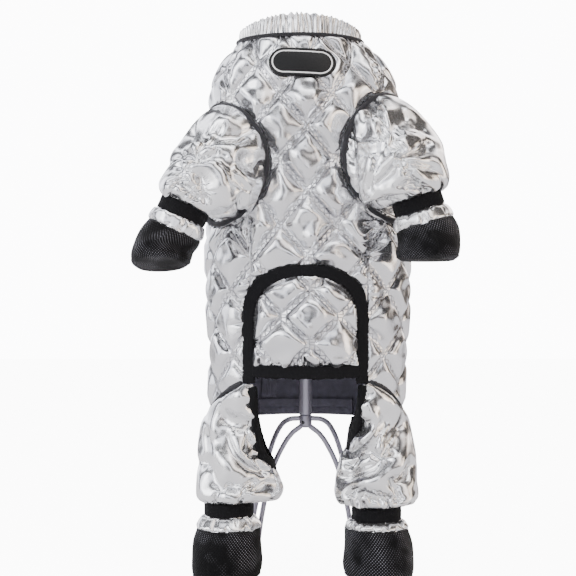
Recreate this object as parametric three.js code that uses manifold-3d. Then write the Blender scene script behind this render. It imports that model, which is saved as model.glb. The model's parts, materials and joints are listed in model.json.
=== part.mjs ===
// A four-legged dog jumpsuit of quilted metallic cloth on its plain display stand.
// Millimetres, +Z up. The belly faces -Y, and left means the side at -X.
import * as THREE from "three";
import { mergeVertices } from "three/addons/utils/BufferGeometryUtils.js";
import Module from "manifold-3d";

const wasm = await Module();
wasm.setup();

// Clearances and walls
const GAP = 0.3;
const QUILT_WALL = 3.2;
const CLOTH_WALL = 2.2;
const LINING_WALL = 1.0;
const TAPE_WALL = 3.4;

// The trunk
const BODY_LENGTH = 293;
const HEM_HEIGHT = 118;
const CHEST_WIDTH = 154;
const CHEST_DEPTH = 116;

// The quilting
const DIAMONDS_ROUND = 10;
const DIAMOND_HEIGHT = 48.5;
const QUILT_LOFT = 4;
const FLAP_DIAMOND = 40;
const FLAP_LOFT = 5;
const FLAP_BULGE = 7;

// The neck
const COLLAR_HEIGHT = 15.5;
const COLLAR_WALL = 4;
const COLLAR_RIBS = 22;
const COLLAR_LEAN = 7;
const LABEL_LENGTH = 48;
const LABEL_HEIGHT = 22;
const LABEL_THICKNESS = 2;
const LABEL_TILT = 3;

// The seams' pipings and tapes
const PIPING = 1.4;
const ARMHOLE_HEIGHT = 92;
const ARMHOLE_ANGLE = 74;
const ARCH_WIDTH = 92.4;
const ARCH_HEIGHT = 87;
const TAPE_WIDTH = 8.4;
const BAND_HEIGHT = 9.8;

// The limbs
const SLEEVE_REACH = 50;
const LEG_WIDTH = 56;
const CUFF_WIDTH = 37;
const CUFF_HEIGHT = 10.4;
const CUFF_WALL = 2.4;
const GATHER = 1.3;

// The boots
const BOOT_WIDTH = 52;
const BOOT_LENGTH = 57;
const BOOT_HEIGHT = 38;
const BOOT_MOUTH = 48;
const BOOT_WALL = 2;
const BOOT_SOLE = 3;

// The stand
const POLE = 9.7;
const HUB_HEIGHT = 121;
const WIRE = 4;
const FOOT_SPREAD = 96;
const FOOT_REACH = 52;
const FOOT_WIDTH = 9;
const FOOT_HEIGHT = 6;
const YOKE = 8;

// Seen from the front: the trunk's half sizes as shares of the chest's, its shift as a share of its width
const TRUNK = [
  { at: -0.06, wide: 0.95, deep: 0.93, aside: 0 },
  { at: 0.04, wide: 0.96, deep: 0.95, aside: 0.003 },
  { at: 0.18, wide: 0.965, deep: 0.97, aside: 0.012 },
  { at: 0.32, wide: 1.0, deep: 1.0, aside: 0.012 },
  { at: 0.5, wide: 1.0, deep: 1.0, aside: 0.008 },
  { at: 0.68, wide: 0.99, deep: 1.0, aside: 0 },
  { at: 0.8, wide: 0.97, deep: 0.97, aside: 0 },
  { at: 0.88, wide: 0.9, deep: 0.9, aside: -0.008 },
  { at: 0.93, wide: 0.81, deep: 0.82, aside: -0.013 },
  { at: 0.97, wide: 0.695, deep: 0.73, aside: -0.017 },
  { at: 1.0, wide: 0.617, deep: 0.66, aside: -0.028 },
];

// The chest panel's side seams: height as a share of the body, places as shares of the chest's width
const SEAMS = [
  { at: 1.1, left: -0.29, right: 0.24 },
  { at: 1.0, left: -0.305, right: 0.262 },
  { at: 0.93, left: -0.362, right: 0.318 },
  { at: 0.85, left: -0.395, right: 0.37 },
  { at: 0.67, left: -0.375, right: 0.36 },
  { at: 0.53, left: -0.286, right: 0.332 },
  { at: 0.34, left: -0.272, right: 0.296 },
  { at: 0.0, left: -0.272, right: 0.29 },
];

// The line where the legs are sewn on, by the share of a half turn from the belly to the back
const HIP = [
  { at: 0, up: 0.109 },
  { at: 0.19, up: 0.109 },
  { at: 0.28, up: 0.089 },
  { at: 0.39, up: 0.044 },
  { at: 0.5, up: 0.007 },
  { at: 0.72, up: -0.007 },
  { at: 1, up: -0.006 },
];

// Two armholes: turn from the belly in degrees, height as a share of the body
const ARMHOLES = {
  left: { side: -1, turn: -59, up: 0.666, tall: 0.98 },
  right: { side: 1, turn: 58, up: 0.683, tall: 1.04 },
};

// Sleeves: shifts as shares of the reach, half sizes as shares of the armhole's, and the ring's two turns
const SLEEVES = {
  left: [
    { at: 0, out: 0, ahead: 0, drop: 0, wide: 0.88, thick: 1.0, tip: 0, turn: 38 },
    { at: 0.3, out: 0.07, ahead: 0.34, drop: 0.22, wide: 0.82, thick: 0.71, tip: 40, turn: 36 },
    { at: 0.6, out: 0.17, ahead: 0.54, drop: 0.42, wide: 0.72, thick: 0.6, tip: 58, turn: 22 },
    { at: 0.85, out: 0.35, ahead: 0.62, drop: 0.54, wide: 0.55, thick: 0.5, tip: 65, turn: 8 },
    { at: 1, out: 0.46, ahead: 0.642, drop: 0.63, wide: 0.37, thick: 0.37, tip: 66, turn: 0 },
  ],
  right: [
    { at: 0, out: 0, ahead: 0, drop: 0, wide: 0.86, thick: 1.0, tip: 0, turn: 38 },
    { at: 0.3, out: 0.04, ahead: 0.36, drop: 0.2, wide: 0.8, thick: 0.76, tip: 40, turn: 36 },
    { at: 0.6, out: 0.1, ahead: 0.54, drop: 0.4, wide: 0.7, thick: 0.64, tip: 60, turn: 22 },
    { at: 0.85, out: 0.24, ahead: 0.6, drop: 0.54, wide: 0.52, thick: 0.5, tip: 70, turn: 8 },
    { at: 1, out: 0.31, ahead: 0.6, drop: 0.63, wide: 0.36, thick: 0.36, tip: 73, turn: 0 },
  ],
};

// Legs: height as a share of the way from the hip down to the cuff, the rest as shares of the leg's width
const LEGS = {
  left: [
    { at: 0, out: 0.93, ahead: 0.0, wide: 0.45, thick: 0.95, pinch: 0 },
    { at: 0.25, out: 0.94, ahead: 0.1, wide: 0.45, thick: 0.72, pinch: 0 },
    { at: 0.5, out: 0.93, ahead: 0.25, wide: 0.46, thick: 0.58, pinch: 0 },
    { at: 0.72, out: 0.9, ahead: 0.36, wide: 0.49, thick: 0.5, pinch: 0.3 },
    { at: 0.93, out: 0.93, ahead: 0.41, wide: 0.47, thick: 0.47, pinch: 1 },
    { at: 1, out: 1.05, ahead: 0.43, wide: 0.33, thick: 0.33, pinch: 0.6 },
  ],
  right: [
    { at: 0, out: 0.93, ahead: 0.0, wide: 0.45, thick: 0.95, pinch: 0 },
    { at: 0.25, out: 0.985, ahead: 0.1, wide: 0.4, thick: 0.7, pinch: 0 },
    { at: 0.5, out: 0.99, ahead: 0.25, wide: 0.43, thick: 0.56, pinch: 0 },
    { at: 0.72, out: 0.96, ahead: 0.36, wide: 0.455, thick: 0.5, pinch: 0.3 },
    { at: 0.93, out: 0.96, ahead: 0.41, wide: 0.46, thick: 0.47, pinch: 1 },
    { at: 1, out: 0.957, ahead: 0.43, wide: 0.33, thick: 0.33, pinch: 0.6 },
  ],
};

// The openings between the legs: half angles in degrees, lowest points as shares of the leg,
// and where the binding ends at the back, as a share of the opening's edge
const CROTCH = {
  left: { low: 0.53, angle: 55, end: 0.93 },
  right: { low: 0.29, angle: 55, end: 0.86 },
};

// Feet: lean of the cuff, the sole's shift and turns, and the height of the gathered top
const FEET = {
  front_left: { side: -1, lean: 24, top: 9.5, scale: 0.86, out: 9, back: -2, drop: 27, pitch: 16, turn: 8, roll: -4 },
  front_right: { side: 1, lean: 17, top: 9.5, scale: 0.9, out: 1.5, back: -2, drop: 27, pitch: 2, turn: 10, roll: 0 },
};
const PAWS = {
  left: { side: -1, top: 9, turn: 20 },
  right: { side: 1, top: 5.5, turn: 20 },
};

// The boot from its sole to its mouth, as shares of half its width and of its length
const BOOT = [
  { at: 0, wide: 0.8, toe: 0.55, heel: 0.27 },
  { at: 0.07, wide: 0.92, toe: 0.62, heel: 0.31 },
  { at: 0.25, wide: 1.0, toe: 0.67, heel: 0.33 },
  { at: 0.5, wide: 1.0, toe: 0.66, heel: 0.33 },
  { at: 0.75, wide: 0.98, toe: 0.57, heel: 0.36 },
  { at: 1, wide: 0.923, toe: 0.43, heel: 0.41 },
];

const MATERIALS = {
  silver: { color: 0xc3c5c9, roughness: 0.32, metalness: 0.75 },
  sleeve: { color: 0xcfd0d3, roughness: 0.25, metalness: 0.8 },
  piping: { color: 0x3c3d42, roughness: 0.6, metalness: 0.1 },
  tape: { color: 0x141416, roughness: 0.85, metalness: 0 },
  mesh: { color: 0x1c1c20, roughness: 0.8, metalness: 0 },
  lining: { color: 0x77777f, roughness: 0.8, metalness: 0 },
  label: { color: 0x121213, roughness: 0.6, metalness: 0 },
  stand: { color: 0x8f8e9c, roughness: 0.4, metalness: 0.3 },
  rubber: { color: 0x8a8a92, roughness: 0.7, metalness: 0 },
};

const radians = (degrees) => THREE.MathUtils.degToRad(degrees);
const mix = (low, high, share) => low + (high - low) * share;
const ease = (low, high, value) => THREE.MathUtils.smoothstep(value, low, high);

// A table's column at a place, on one smooth curve through its rows, held level past the ends.
function along(table, column, at) {
  const rising = table[table.length - 1].at > table[0].at;
  const rows = rising ? table : [...table].reverse();
  const last = rows.length - 1;
  let i = 0;
  while (i < last - 1 && at > rows[i + 1].at) i += 1;
  const slope = (k) => {
    const below = rows[Math.max(k - 1, 0)];
    const above = rows[Math.min(k + 1, last)];
    return (above[column] - below[column]) / (above.at - below.at);
  };
  const span = rows[i + 1].at - rows[i].at;
  const t = THREE.MathUtils.clamp((at - rows[i].at) / span, 0, 1);
  const start = rows[i][column];
  const end = rows[i + 1][column];
  return start * (1 + 2 * t) * (1 - t) ** 2 + end * (3 - 2 * t) * t ** 2
    + span * (slope(i) * t * (1 - t) ** 2 - slope(i + 1) * (1 - t) * t ** 2);
}

// A closed solid from any geometry: equal corners are merged and the faces turned outwards.
function solidOf(geometry) {
  const bare = geometry.clone();
  bare.deleteAttribute("normal");
  bare.deleteAttribute("uv");
  const merged = mergeVertices(bare, 1e-4);
  const place = merged.getAttribute("position");
  const index = merged.getIndex().array;
  const corner = (k) => new THREE.Vector3().fromBufferAttribute(place, k);
  const faces = [];
  let volume = 0;
  for (let k = 0; k < index.length; k += 3) {
    const [a, b, c] = [index[k], index[k + 1], index[k + 2]];
    if (a === b || b === c || c === a) continue;
    faces.push(a, b, c);
    volume += corner(a).dot(corner(b).cross(corner(c)));
  }
  if (volume < 0) faces.reverse();
  return new wasm.Manifold(new wasm.Mesh({
    numProp: 3,
    vertProperties: new Float32Array(place.array),
    triVerts: new Uint32Array(faces),
  }));
}

function geometryFrom(points, faces) {
  const geometry = new THREE.BufferGeometry();
  const flat = points.flatMap((point) => [point.x, point.y, point.z]);
  geometry.setAttribute("position", new THREE.Float32BufferAttribute(flat, 3));
  geometry.setIndex(faces);
  return geometry;
}

// A skin that runs round in both directions, from place(column, row). Rising says which way a square is cut.
function band(place, columns, rows, rising = () => false) {
  const points = [];
  for (let j = 0; j < rows; j += 1) {
    for (let i = 0; i < columns; i += 1) points.push(place(i, j));
  }
  const faces = [];
  for (let j = 0; j < rows; j += 1) {
    for (let i = 0; i < columns; i += 1) {
      const [next, above] = [(i + 1) % columns, ((j + 1) % rows) * columns];
      const [a, b, c, d] = [j * columns + i, j * columns + next, above + next, above + i];
      if (rising(i, j)) faces.push(a, b, c, a, c, d);
      else faces.push(a, b, d, b, c, d);
    }
  }
  return solidOf(geometryFrom(points, faces));
}

// A skin that is round one way and closed by a fan of faces at its first and last row.
function bag(place, columns, rows) {
  const points = [];
  for (let j = 0; j <= rows; j += 1) {
    for (let i = 0; i < columns; i += 1) points.push(place(i, j));
  }
  const faces = [];
  for (let j = 0; j < rows; j += 1) {
    for (let i = 0; i < columns; i += 1) {
      const next = (i + 1) % columns;
      const [a, b] = [j * columns + i, j * columns + next];
      faces.push(a, b, a + columns, b, b + columns, a + columns);
    }
  }
  for (const row of [0, rows]) {
    const ring = points.slice(row * columns, (row + 1) * columns);
    const middle = ring.reduce((sum, point) => sum.add(point), new THREE.Vector3()).divideScalar(columns);
    const hub = points.push(middle) - 1;
    for (let i = 0; i < columns; i += 1) {
      const [a, b] = [row * columns + i, row * columns + ((i + 1) % columns)];
      if (row === 0) faces.push(hub, b, a);
      else faces.push(hub, a, b);
    }
  }
  return solidOf(geometryFrom(points, faces));
}

// A plate with four edges, from place(across, along, side), each from 0 to 1.
function slab(place, columns, rows, rising = () => true) {
  const points = [];
  for (const side of [0, 1]) {
    for (let j = 0; j <= rows; j += 1) {
      for (let i = 0; i <= columns; i += 1) points.push(place(i / columns, j / rows, side));
    }
  }
  const corner = (i, j, side) => (side * (rows + 1) + j) * (columns + 1) + i;
  const faces = [];
  const square = (a, b, c, d, direct = true) => {
    if (direct) faces.push(a, b, c, a, c, d);
    else faces.push(a, b, d, b, c, d);
  };
  for (let j = 0; j < rows; j += 1) {
    for (let i = 0; i < columns; i += 1) {
      const up = rising(i, j);
      square(corner(i, j, 1), corner(i + 1, j, 1), corner(i + 1, j + 1, 1), corner(i, j + 1, 1), up);
      square(corner(i, j + 1, 0), corner(i + 1, j + 1, 0), corner(i + 1, j, 0), corner(i, j, 0), !up);
    }
  }
  for (let i = 0; i < columns; i += 1) {
    square(corner(i, 0, 0), corner(i + 1, 0, 0), corner(i + 1, 0, 1), corner(i, 0, 1));
    square(corner(i + 1, rows, 0), corner(i, rows, 0), corner(i, rows, 1), corner(i + 1, rows, 1));
  }
  for (let j = 0; j < rows; j += 1) {
    square(corner(0, j + 1, 0), corner(0, j, 0), corner(0, j, 1), corner(0, j + 1, 1));
    square(corner(columns, j, 0), corner(columns, j + 1, 0), corner(columns, j + 1, 1), corner(columns, j, 1));
  }
  return solidOf(geometryFrom(points, faces));
}

// A grazing cut can leave a crumb beside the piece, so the largest body alone is kept.
function mainBody(solid) {
  return solid.decompose().reduce((best, body) => (body.volume() > best.volume() ? body : best));
}

// A round-sided shape for cords and wires.
function roundShape(radius, sides) {
  const corners = [];
  for (let i = 0; i < sides; i += 1) {
    const turn = (2 * Math.PI * i) / sides;
    corners.push(new THREE.Vector2(radius * Math.cos(turn), radius * Math.sin(turn)));
  }
  return new THREE.Shape(corners);
}

function openCord(points, radius, sides, steps) {
  const extrudePath = new THREE.CatmullRomCurve3(points);
  return solidOf(new THREE.ExtrudeGeometry(roundShape(radius, sides), { extrudePath, steps, bevelEnabled: false }));
}

function closedCord(points, radius, sides) {
  const path = new THREE.CatmullRomCurve3(points, true);
  return solidOf(new THREE.TubeGeometry(path, points.length, radius, sides, true));
}

// A flat outline drawn as seen from the front, carried back through the belly half.
function frontCutter(shape) {
  const block = new THREE.ExtrudeGeometry(shape, { depth: CHEST_DEPTH, bevelEnabled: false, curveSegments: 14 });
  return solidOf(block.rotateX(Math.PI / 2));
}

// The trunk: turn is measured from the belly, positive towards +X, and lift is outwards from the cloth.
const bodyHeight = (share) => HEM_HEIGHT + share * BODY_LENGTH;

function trunkRing(height) {
  const at = (height - HEM_HEIGHT) / BODY_LENGTH;
  return {
    wide: (CHEST_WIDTH / 2) * along(TRUNK, "wide", at),
    deep: (CHEST_DEPTH / 2) * along(TRUNK, "deep", at),
    aside: CHEST_WIDTH * along(TRUNK, "aside", at),
  };
}

function trunkPoint(turn, height, lift) {
  const { wide, deep, aside } = trunkRing(height);
  const outward = new THREE.Vector3(deep * Math.sin(turn), -wide * Math.cos(turn), 0).setLength(lift);
  return new THREE.Vector3(aside + wide * Math.sin(turn), -deep * Math.cos(turn), height).add(outward);
}

// Equal shares round the trunk are near equal lengths of cloth.
function evenTurn(share) {
  const flatness = (CHEST_WIDTH - CHEST_DEPTH) / (2 * (CHEST_WIDTH + CHEST_DEPTH));
  return 2 * Math.PI * share - flatness * Math.sin(4 * Math.PI * share);
}

function turnAcross(x, height) {
  const { wide, aside } = trunkRing(height);
  return Math.asin(THREE.MathUtils.clamp((x - aside) / wide, -1, 1));
}

const hipHeight = (turn) => bodyHeight(along(HIP, "up", Math.abs(turn) / Math.PI));

// How far a place lies from an armhole's middle: 1 on its edge.
function armholeReach(armhole, turn, height) {
  const across = (turn - radians(armhole.turn)) / radians(ARMHOLE_ANGLE / 2);
  const up = (height - bodyHeight(armhole.up)) / ((ARMHOLE_HEIGHT / 2) * armhole.tall);
  return Math.hypot(across, up);
}

const LABEL_UP = 0.92;
const LABEL_ASIDE = -0.02;

// The quilted cloth lies flat along its seams and under the label, and puffs up between the stitched lines.
function quiltLift(share, height) {
  const turn = evenTurn(share > 0.5 ? share - 1 : share);
  const up = (height - bodyHeight(QUILT_NODE)) / DIAMOND_HEIGHT;
  const across = share * DIAMONDS_ROUND;
  const puff = Math.abs(Math.sin(Math.PI * (across + up)) * Math.sin(Math.PI * (across - up))) ** 0.7;
  const label = Math.hypot(
    (trunkPoint(turn, height, 0).x - LABEL_ASIDE * CHEST_WIDTH) / LABEL_LENGTH,
    (height - bodyHeight(LABEL_UP)) / LABEL_HEIGHT,
    Math.cos(turn) > 0 ? 0 : 9,
  );
  let calm = ease(0.5, 1, label) * ease(0, QUILT_WALL * 3, bodyHeight(1) - height);
  for (const armhole of Object.values(ARMHOLES)) {
    calm *= ease(1.05, 1.35, armholeReach(armhole, turn, height));
  }
  calm *= ease(0, QUILT_WALL * 3, height - hipHeight(turn));
  return QUILT_LOFT * (puff - 0.3) * calm;
}

const QUILT_NODE = 0.757;

// The whole quilted shell, with a row of corners on every quarter of a diamond.
function quiltedShell() {
  const columns = 4 * DIAMONDS_ROUND;
  const step = DIAMOND_HEIGHT / 4;
  const node = bodyHeight(QUILT_NODE);
  const lowest = bodyHeight(HIP[5].up) - step;
  const heights = [lowest];
  for (let k = Math.ceil((lowest - node) / step + 0.3); node + k * step < bodyHeight(1) - 2; k += 1) {
    heights.push(node + k * step);
  }
  heights.push(bodyHeight(1));
  const outer = heights.length;
  const inside = [1, 0.94, 0.86, 0.7, 0.35, 0].map((share) => mix(lowest, bodyHeight(1), share));
  const place = (i, j) => {
    const share = i / columns;
    if (j >= outer) return trunkPoint(evenTurn(share), inside[j - outer], -QUILT_WALL);
    return trunkPoint(evenTurn(share), heights[j], quiltLift(share, heights[j]));
  };
  const rising = (i, j) => j < outer - 1 && (((i - Math.round((heights[j] - node) / step)) % 4) + 4) % 4 === 0;
  return band(place, columns, outer + inside.length, rising);
}

// An armhole's loop on the trunk, grown by some millimetres, from the back edge over the top.
function armholeLoop(armhole, turn, grow, lift) {
  const half = (ARMHOLE_HEIGHT / 2) * armhole.tall;
  const widening = 1 + grow / half;
  const height = bodyHeight(armhole.up) + half * widening * Math.sin(turn);
  const swing = radians(ARMHOLE_ANGLE / 2) * widening * Math.cos(turn) * armhole.side;
  return trunkPoint(radians(armhole.turn) + swing, height, lift);
}

function armholeCutter(armhole) {
  const columns = 24;
  const middle = radians(armhole.turn);
  const away = new THREE.Vector3(Math.sin(middle), -Math.cos(middle), 0);
  const place = (i, j) => {
    const turn = (2 * Math.PI * i) / columns;
    const grow = PIPING + 2 * GAP;
    if (j === 2) return armholeLoop(armhole, turn, grow, QUILT_LOFT).addScaledVector(away, CHEST_DEPTH / 3);
    return armholeLoop(armhole, turn, grow, j === 0 ? -4 * QUILT_WALL : QUILT_LOFT);
  };
  return bag(place, columns, 2);
}

// Everything below the line where the legs are sewn on.
function hipCutter() {
  const columns = 48;
  const reach = 4 * QUILT_WALL;
  const lowest = HEM_HEIGHT - BODY_LENGTH / 8;
  return band((i, j) => {
    const turn = Math.PI * ((2 * i) / columns - 1);
    const height = j < 2 ? hipHeight(turn) + PIPING + 3 * GAP : lowest;
    return trunkPoint(turn, height, j === 1 || j === 2 ? reach : -reach);
  }, columns, 4);
}

// The chest panel as seen from the front, grown or shrunk by half a gap.
function chestShape(grow) {
  const edge = (column) => SEAMS.map((row) => new THREE.Vector2(CHEST_WIDTH * row[column], bodyHeight(row.at)));
  const left = edge("left").map((point) => new THREE.Vector2(point.x - grow, point.y));
  const right = edge("right").map((point) => new THREE.Vector2(point.x + grow, point.y));
  return new THREE.Shape([...left, ...right.reverse()]);
}

// The arch under the belly: straight sides that close in a flat round top.
const ARCH_FOOT = hipHeight(0) - PIPING + 2 * GAP;
const ARCH_MIDDLE = -0.004;
const ARCH_ROUND = 0.38;

function archOutline(inset, foot) {
  const half = ARCH_WIDTH / 2 - inset;
  const top = bodyHeight(HIP[0].up) + ARCH_HEIGHT - inset;
  const spring = top - ARCH_ROUND * ARCH_WIDTH + inset * 0.2;
  const points = [];
  const steps = 14;
  for (let i = 0; i <= steps; i += 1) {
    const turn = Math.PI * (1 - i / steps);
    const bend = (value) => Math.sign(value) * Math.abs(value) ** 0.86;
    const x = CHEST_WIDTH * ARCH_MIDDLE + half * bend(Math.cos(turn));
    points.push(new THREE.Vector2(x, spring + (top - spring) * bend(Math.sin(turn))));
  }
  points.push(new THREE.Vector2(CHEST_WIDTH * ARCH_MIDDLE + half, foot));
  points.unshift(new THREE.Vector2(CHEST_WIDTH * ARCH_MIDDLE - half, foot));
  return points;
}

// The layer of the trunk's front that the tapes fill, a little larger than the arch.
function bellyLayer(columns, rows) {
  const half = ARCH_WIDTH / 2 + TAPE_WIDTH;
  const top = bodyHeight(HIP[0].up) + ARCH_HEIGHT + TAPE_WIDTH;
  return slab((across, up, side) => {
    const height = mix(ARCH_FOOT - TAPE_WIDTH, top, up);
    const turn = turnAcross(mix(-half, half, across), height);
    return trunkPoint(turn, height, TAPE_LOW + side * TAPE_WALL);
  }, columns, rows);
}

const TAPE_LOW = -1.4;

function archBinding() {
  const outer = archOutline(0, ARCH_FOOT);
  const inner = archOutline(TAPE_WIDTH, ARCH_FOOT);
  const ring = new THREE.Shape([...outer, ...inner.reverse()]);
  const layer = bellyLayer(8, 4);
  return layer.intersect(frontCutter(ring));
}

// The belly flap: quilted in squares on their points, drawn in at its edges and full in the middle.
const BAND_TOP = ARCH_FOOT + BAND_HEIGHT + 4.4;
const FLAP_MIDDLE = 0.02;
const FLAP_NODE = 0.345;

function flapLift(x, height) {
  const half = ARCH_WIDTH / 2 - TAPE_WIDTH;
  const top = bodyHeight(HIP[0].up) + ARCH_HEIGHT - TAPE_WIDTH;
  const edge = (1 - (x / half) ** 2) * ease(BAND_TOP, BAND_TOP + half, height) * ease(0, half, top - height);
  const across = (x - CHEST_WIDTH * FLAP_MIDDLE) / FLAP_DIAMOND;
  const up = (height - bodyHeight(FLAP_NODE)) / FLAP_DIAMOND;
  const puff = Math.abs(Math.sin(Math.PI * (across + up)) * Math.sin(Math.PI * (across - up))) ** 0.7;
  return Math.max(edge, 0) * FLAP_BULGE + FLAP_LOFT * (puff - 0.3) * ease(0, 0.35, edge);
}

// Its grid has a corner on every quarter of a diamond, so that the stitched lines follow the faces' edges.
function bellyFlap() {
  const step = FLAP_DIAMOND / 4;
  const columns = 2 * Math.ceil(ARCH_WIDTH / 2 / step);
  const low = Math.floor((BAND_TOP - bodyHeight(FLAP_NODE)) / step) - 1;
  const high = Math.ceil((bodyHeight(HIP[0].up) + ARCH_HEIGHT - bodyHeight(FLAP_NODE)) / step);
  const layer = slab((across, up, side) => {
    const x = FLAP_MIDDLE * CHEST_WIDTH + (across - 0.5) * columns * step;
    const height = bodyHeight(FLAP_NODE) + mix(low, high, up) * step;
    const lift = flapLift(x, height);
    const inner = Math.max(lift - CLOTH_WALL, 0) * 0.8;
    return trunkPoint(turnAcross(x, height), height, TAPE_LOW + (side ? CLOTH_WALL + lift * 0.9 : inner));
  }, columns, high - low, (i, j) => (((i - columns / 2 - j - low) % 4) + 4) % 4 === 0);
  return layer.intersect(frontCutter(new THREE.Shape(archOutline(TAPE_WIDTH + GAP, BAND_TOP + GAP))));
}

function crossBand() {
  const layer = bellyLayer(8, 2);
  const half = ARCH_WIDTH / 2 - TAPE_WIDTH - GAP;
  const middle = CHEST_WIDTH * ARCH_MIDDLE;
  const bottom = BAND_TOP - BAND_HEIGHT;
  const corners = [[-half, bottom], [half, bottom], [half, BAND_TOP], [-half, BAND_TOP]];
  const shape = new THREE.Shape(corners.map(([x, height]) => new THREE.Vector2(middle + x, height)));
  return layer.intersect(frontCutter(shape));
}

// The label: a flat patch with round ends, cut out of a thin layer in front of the chest.
function labelPatch() {
  const radius = LABEL_HEIGHT / 2;
  const half = LABEL_LENGTH / 2 - radius;
  const shape = new THREE.Shape();
  shape.absarc(half, 0, radius, -Math.PI / 2, Math.PI / 2, false);
  shape.absarc(-half, 0, radius, Math.PI / 2, (3 * Math.PI) / 2, false);
  const tilt = -radians(LABEL_TILT);
  const middle = new THREE.Vector2(LABEL_ASIDE * CHEST_WIDTH, bodyHeight(LABEL_UP));
  const outline = shape.getPoints(6).map((point) => point.rotateAround(new THREE.Vector2(), tilt).add(middle));
  const low = QUILT_LOFT * 0.3 + GAP;
  const layer = slab((across, up, side) => {
    const height = mix(middle.y - LABEL_HEIGHT, middle.y + LABEL_HEIGHT, up);
    const turn = turnAcross(middle.x + mix(-0.6, 0.6, across) * LABEL_LENGTH, height);
    return trunkPoint(turn, height, low + side * LABEL_THICKNESS);
  }, 4, 2);
  return layer.intersect(frontCutter(new THREE.Shape(outline)));
}

// The gathered collar: high at the throat, lower and leaning out at the nape.
function collar() {
  const columns = 2 * COLLAR_RIBS;
  const profile = [
    { up: 0, out: -0.1, rib: 0 },
    { up: 0.3, out: 0, rib: 1 },
    { up: 0.8, out: -0.1, rib: 1 },
    { up: 1, out: -0.6, rib: 0 },
    { up: 0, out: -1.1, rib: 0 },
  ];
  return band((i, j) => {
    const turn = (2 * Math.PI * i) / columns;
    const row = profile[j];
    const height = COLLAR_HEIGHT * (0.5 + 0.5 * Math.cos(turn / 2) ** 4) * row.up;
    const lean = COLLAR_LEAN * row.up * (0.5 - 0.5 * Math.cos(turn)) ** 4;
    const rib = (i % 2 ? 0.12 : -0.12) * row.rib;
    const point = trunkPoint(turn, bodyHeight(1), COLLAR_WALL * (row.out + rib) + lean);
    return point.setZ(bodyHeight(1) + GAP + height);
  }, columns, profile.length);
}

function collarPiping() {
  const points = [];
  for (let i = 0; i < 22; i += 1) {
    points.push(trunkPoint((2 * Math.PI * i) / 22, bodyHeight(1) - PIPING / 3, PIPING + 2 * GAP));
  }
  return closedCord(points, PIPING * 0.9, 4);
}

// Sleeves: rings that swing from the armhole down to the cuff, blended into the armhole's loop.
function sleeveMiddle(name, at) {
  const armhole = ARMHOLES[name];
  const table = SLEEVES[name];
  const root = trunkPoint(radians(armhole.turn), bodyHeight(armhole.up), 0);
  const shift = new THREE.Vector3(
    armhole.side * along(table, "out", at),
    -along(table, "ahead", at),
    -along(table, "drop", at),
  );
  const inwards = 1 - Math.cos(radians(ARMHOLE_ANGLE / 2));
  const depth = (CHEST_WIDTH + CHEST_DEPTH) / 4 * inwards * 0.5 * (1 - ease(0, 0.4, at));
  const sink = new THREE.Vector3(root.x, root.y, 0).setLength(depth);
  return root.sub(sink).addScaledVector(shift, SLEEVE_REACH);
}

function sleevePoint(name, turn, at, lift) {
  const armhole = ARMHOLES[name];
  const table = SLEEVES[name];
  const swing = radians(along(table, "turn", at));
  const tip = radians(along(table, "tip", at));
  const side = armhole.side;
  const back = new THREE.Vector3(side * Math.sin(swing), Math.cos(swing), 0);
  const top = new THREE.Vector3(
    side * Math.cos(swing) * Math.sin(tip),
    -Math.sin(swing) * Math.sin(tip),
    Math.cos(tip),
  );
  const half = (ARMHOLE_HEIGHT / 2) * armhole.tall;
  const middle = sleeveMiddle(name, at);
  const point = middle.clone()
    .addScaledVector(back, half * along(table, "wide", at) * Math.cos(turn))
    .addScaledVector(top, half * along(table, "thick", at) * Math.sin(turn));
  point.lerp(armholeLoop(armhole, turn, -PIPING - GAP, 0), 1 - ease(0, 0.4, at));
  const puckers = GATHER * ease(0.4, 0.9, at) * Math.sin(6 * turn) + GATHER * Math.sin(9 * at) * ease(0.15, 0.5, at);
  return point.add(point.clone().sub(middle).setLength(lift + puckers * (1 - ease(0.93, 1, at))));
}

// A limb's open shell: down its outside and back up its inside, with closer rows towards the cuff.
function limbShell(place, columns, rows, innerRows, wall) {
  const count = rows + 1;
  return band((i, j) => {
    const turn = (2 * Math.PI * i) / columns;
    const share = j < count ? j / rows : 1 - (j - count) / innerRows;
    return place(turn, Math.sin((Math.PI / 2) * share), j < count ? 0 : -wall);
  }, columns, count + innerRows + 1);
}

function armholePiping(armhole, radius) {
  const points = [];
  for (let i = 0; i < 20; i += 1) points.push(armholeLoop(armhole, (2 * Math.PI * i) / 20, 0, 0.5));
  return closedCord(points, radius, 5);
}

function sleeve(name) {
  const tube = limbShell((turn, at, lift) => sleevePoint(name, turn, at, lift), 20, 9, 4, CLOTH_WALL);
  return mainBody(tube.subtract(armholePiping(ARMHOLES[name], PIPING + 1.5 * GAP)));
}

// Hind legs: the outer side hangs from the hip line, the inner side closes between its two ends.
const LEG_SWEEP = 0.468;
const LEG_REACH = 125;

function legRoot(side, turn, lift) {
  const degrees = THREE.MathUtils.radToDeg(turn);
  const signed = degrees > 180 ? degrees - 360 : degrees;
  const onTrunk = (value) => {
    const angle = side * radians(90 + LEG_SWEEP * value);
    return trunkPoint(angle, hipHeight(angle) - PIPING - GAP, lift);
  };
  if (Math.abs(signed) <= LEG_REACH) return onTrunk(signed);
  const share = (degrees - LEG_REACH) / (360 - 2 * LEG_REACH);
  return onTrunk(LEG_REACH).lerp(onTrunk(-LEG_REACH), share);
}

const footTop = (name) => BOOT_HEIGHT + PAWS[name].top + CUFF_HEIGHT + 3 * GAP;

function legMiddle(name, at) {
  const table = LEGS[name];
  const top = bodyHeight(0.02);
  const height = mix(top, footTop(name), at);
  return new THREE.Vector3(
    PAWS[name].side * LEG_WIDTH * along(table, "out", at),
    -LEG_WIDTH * along(table, "ahead", at),
    height,
  );
}

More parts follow.
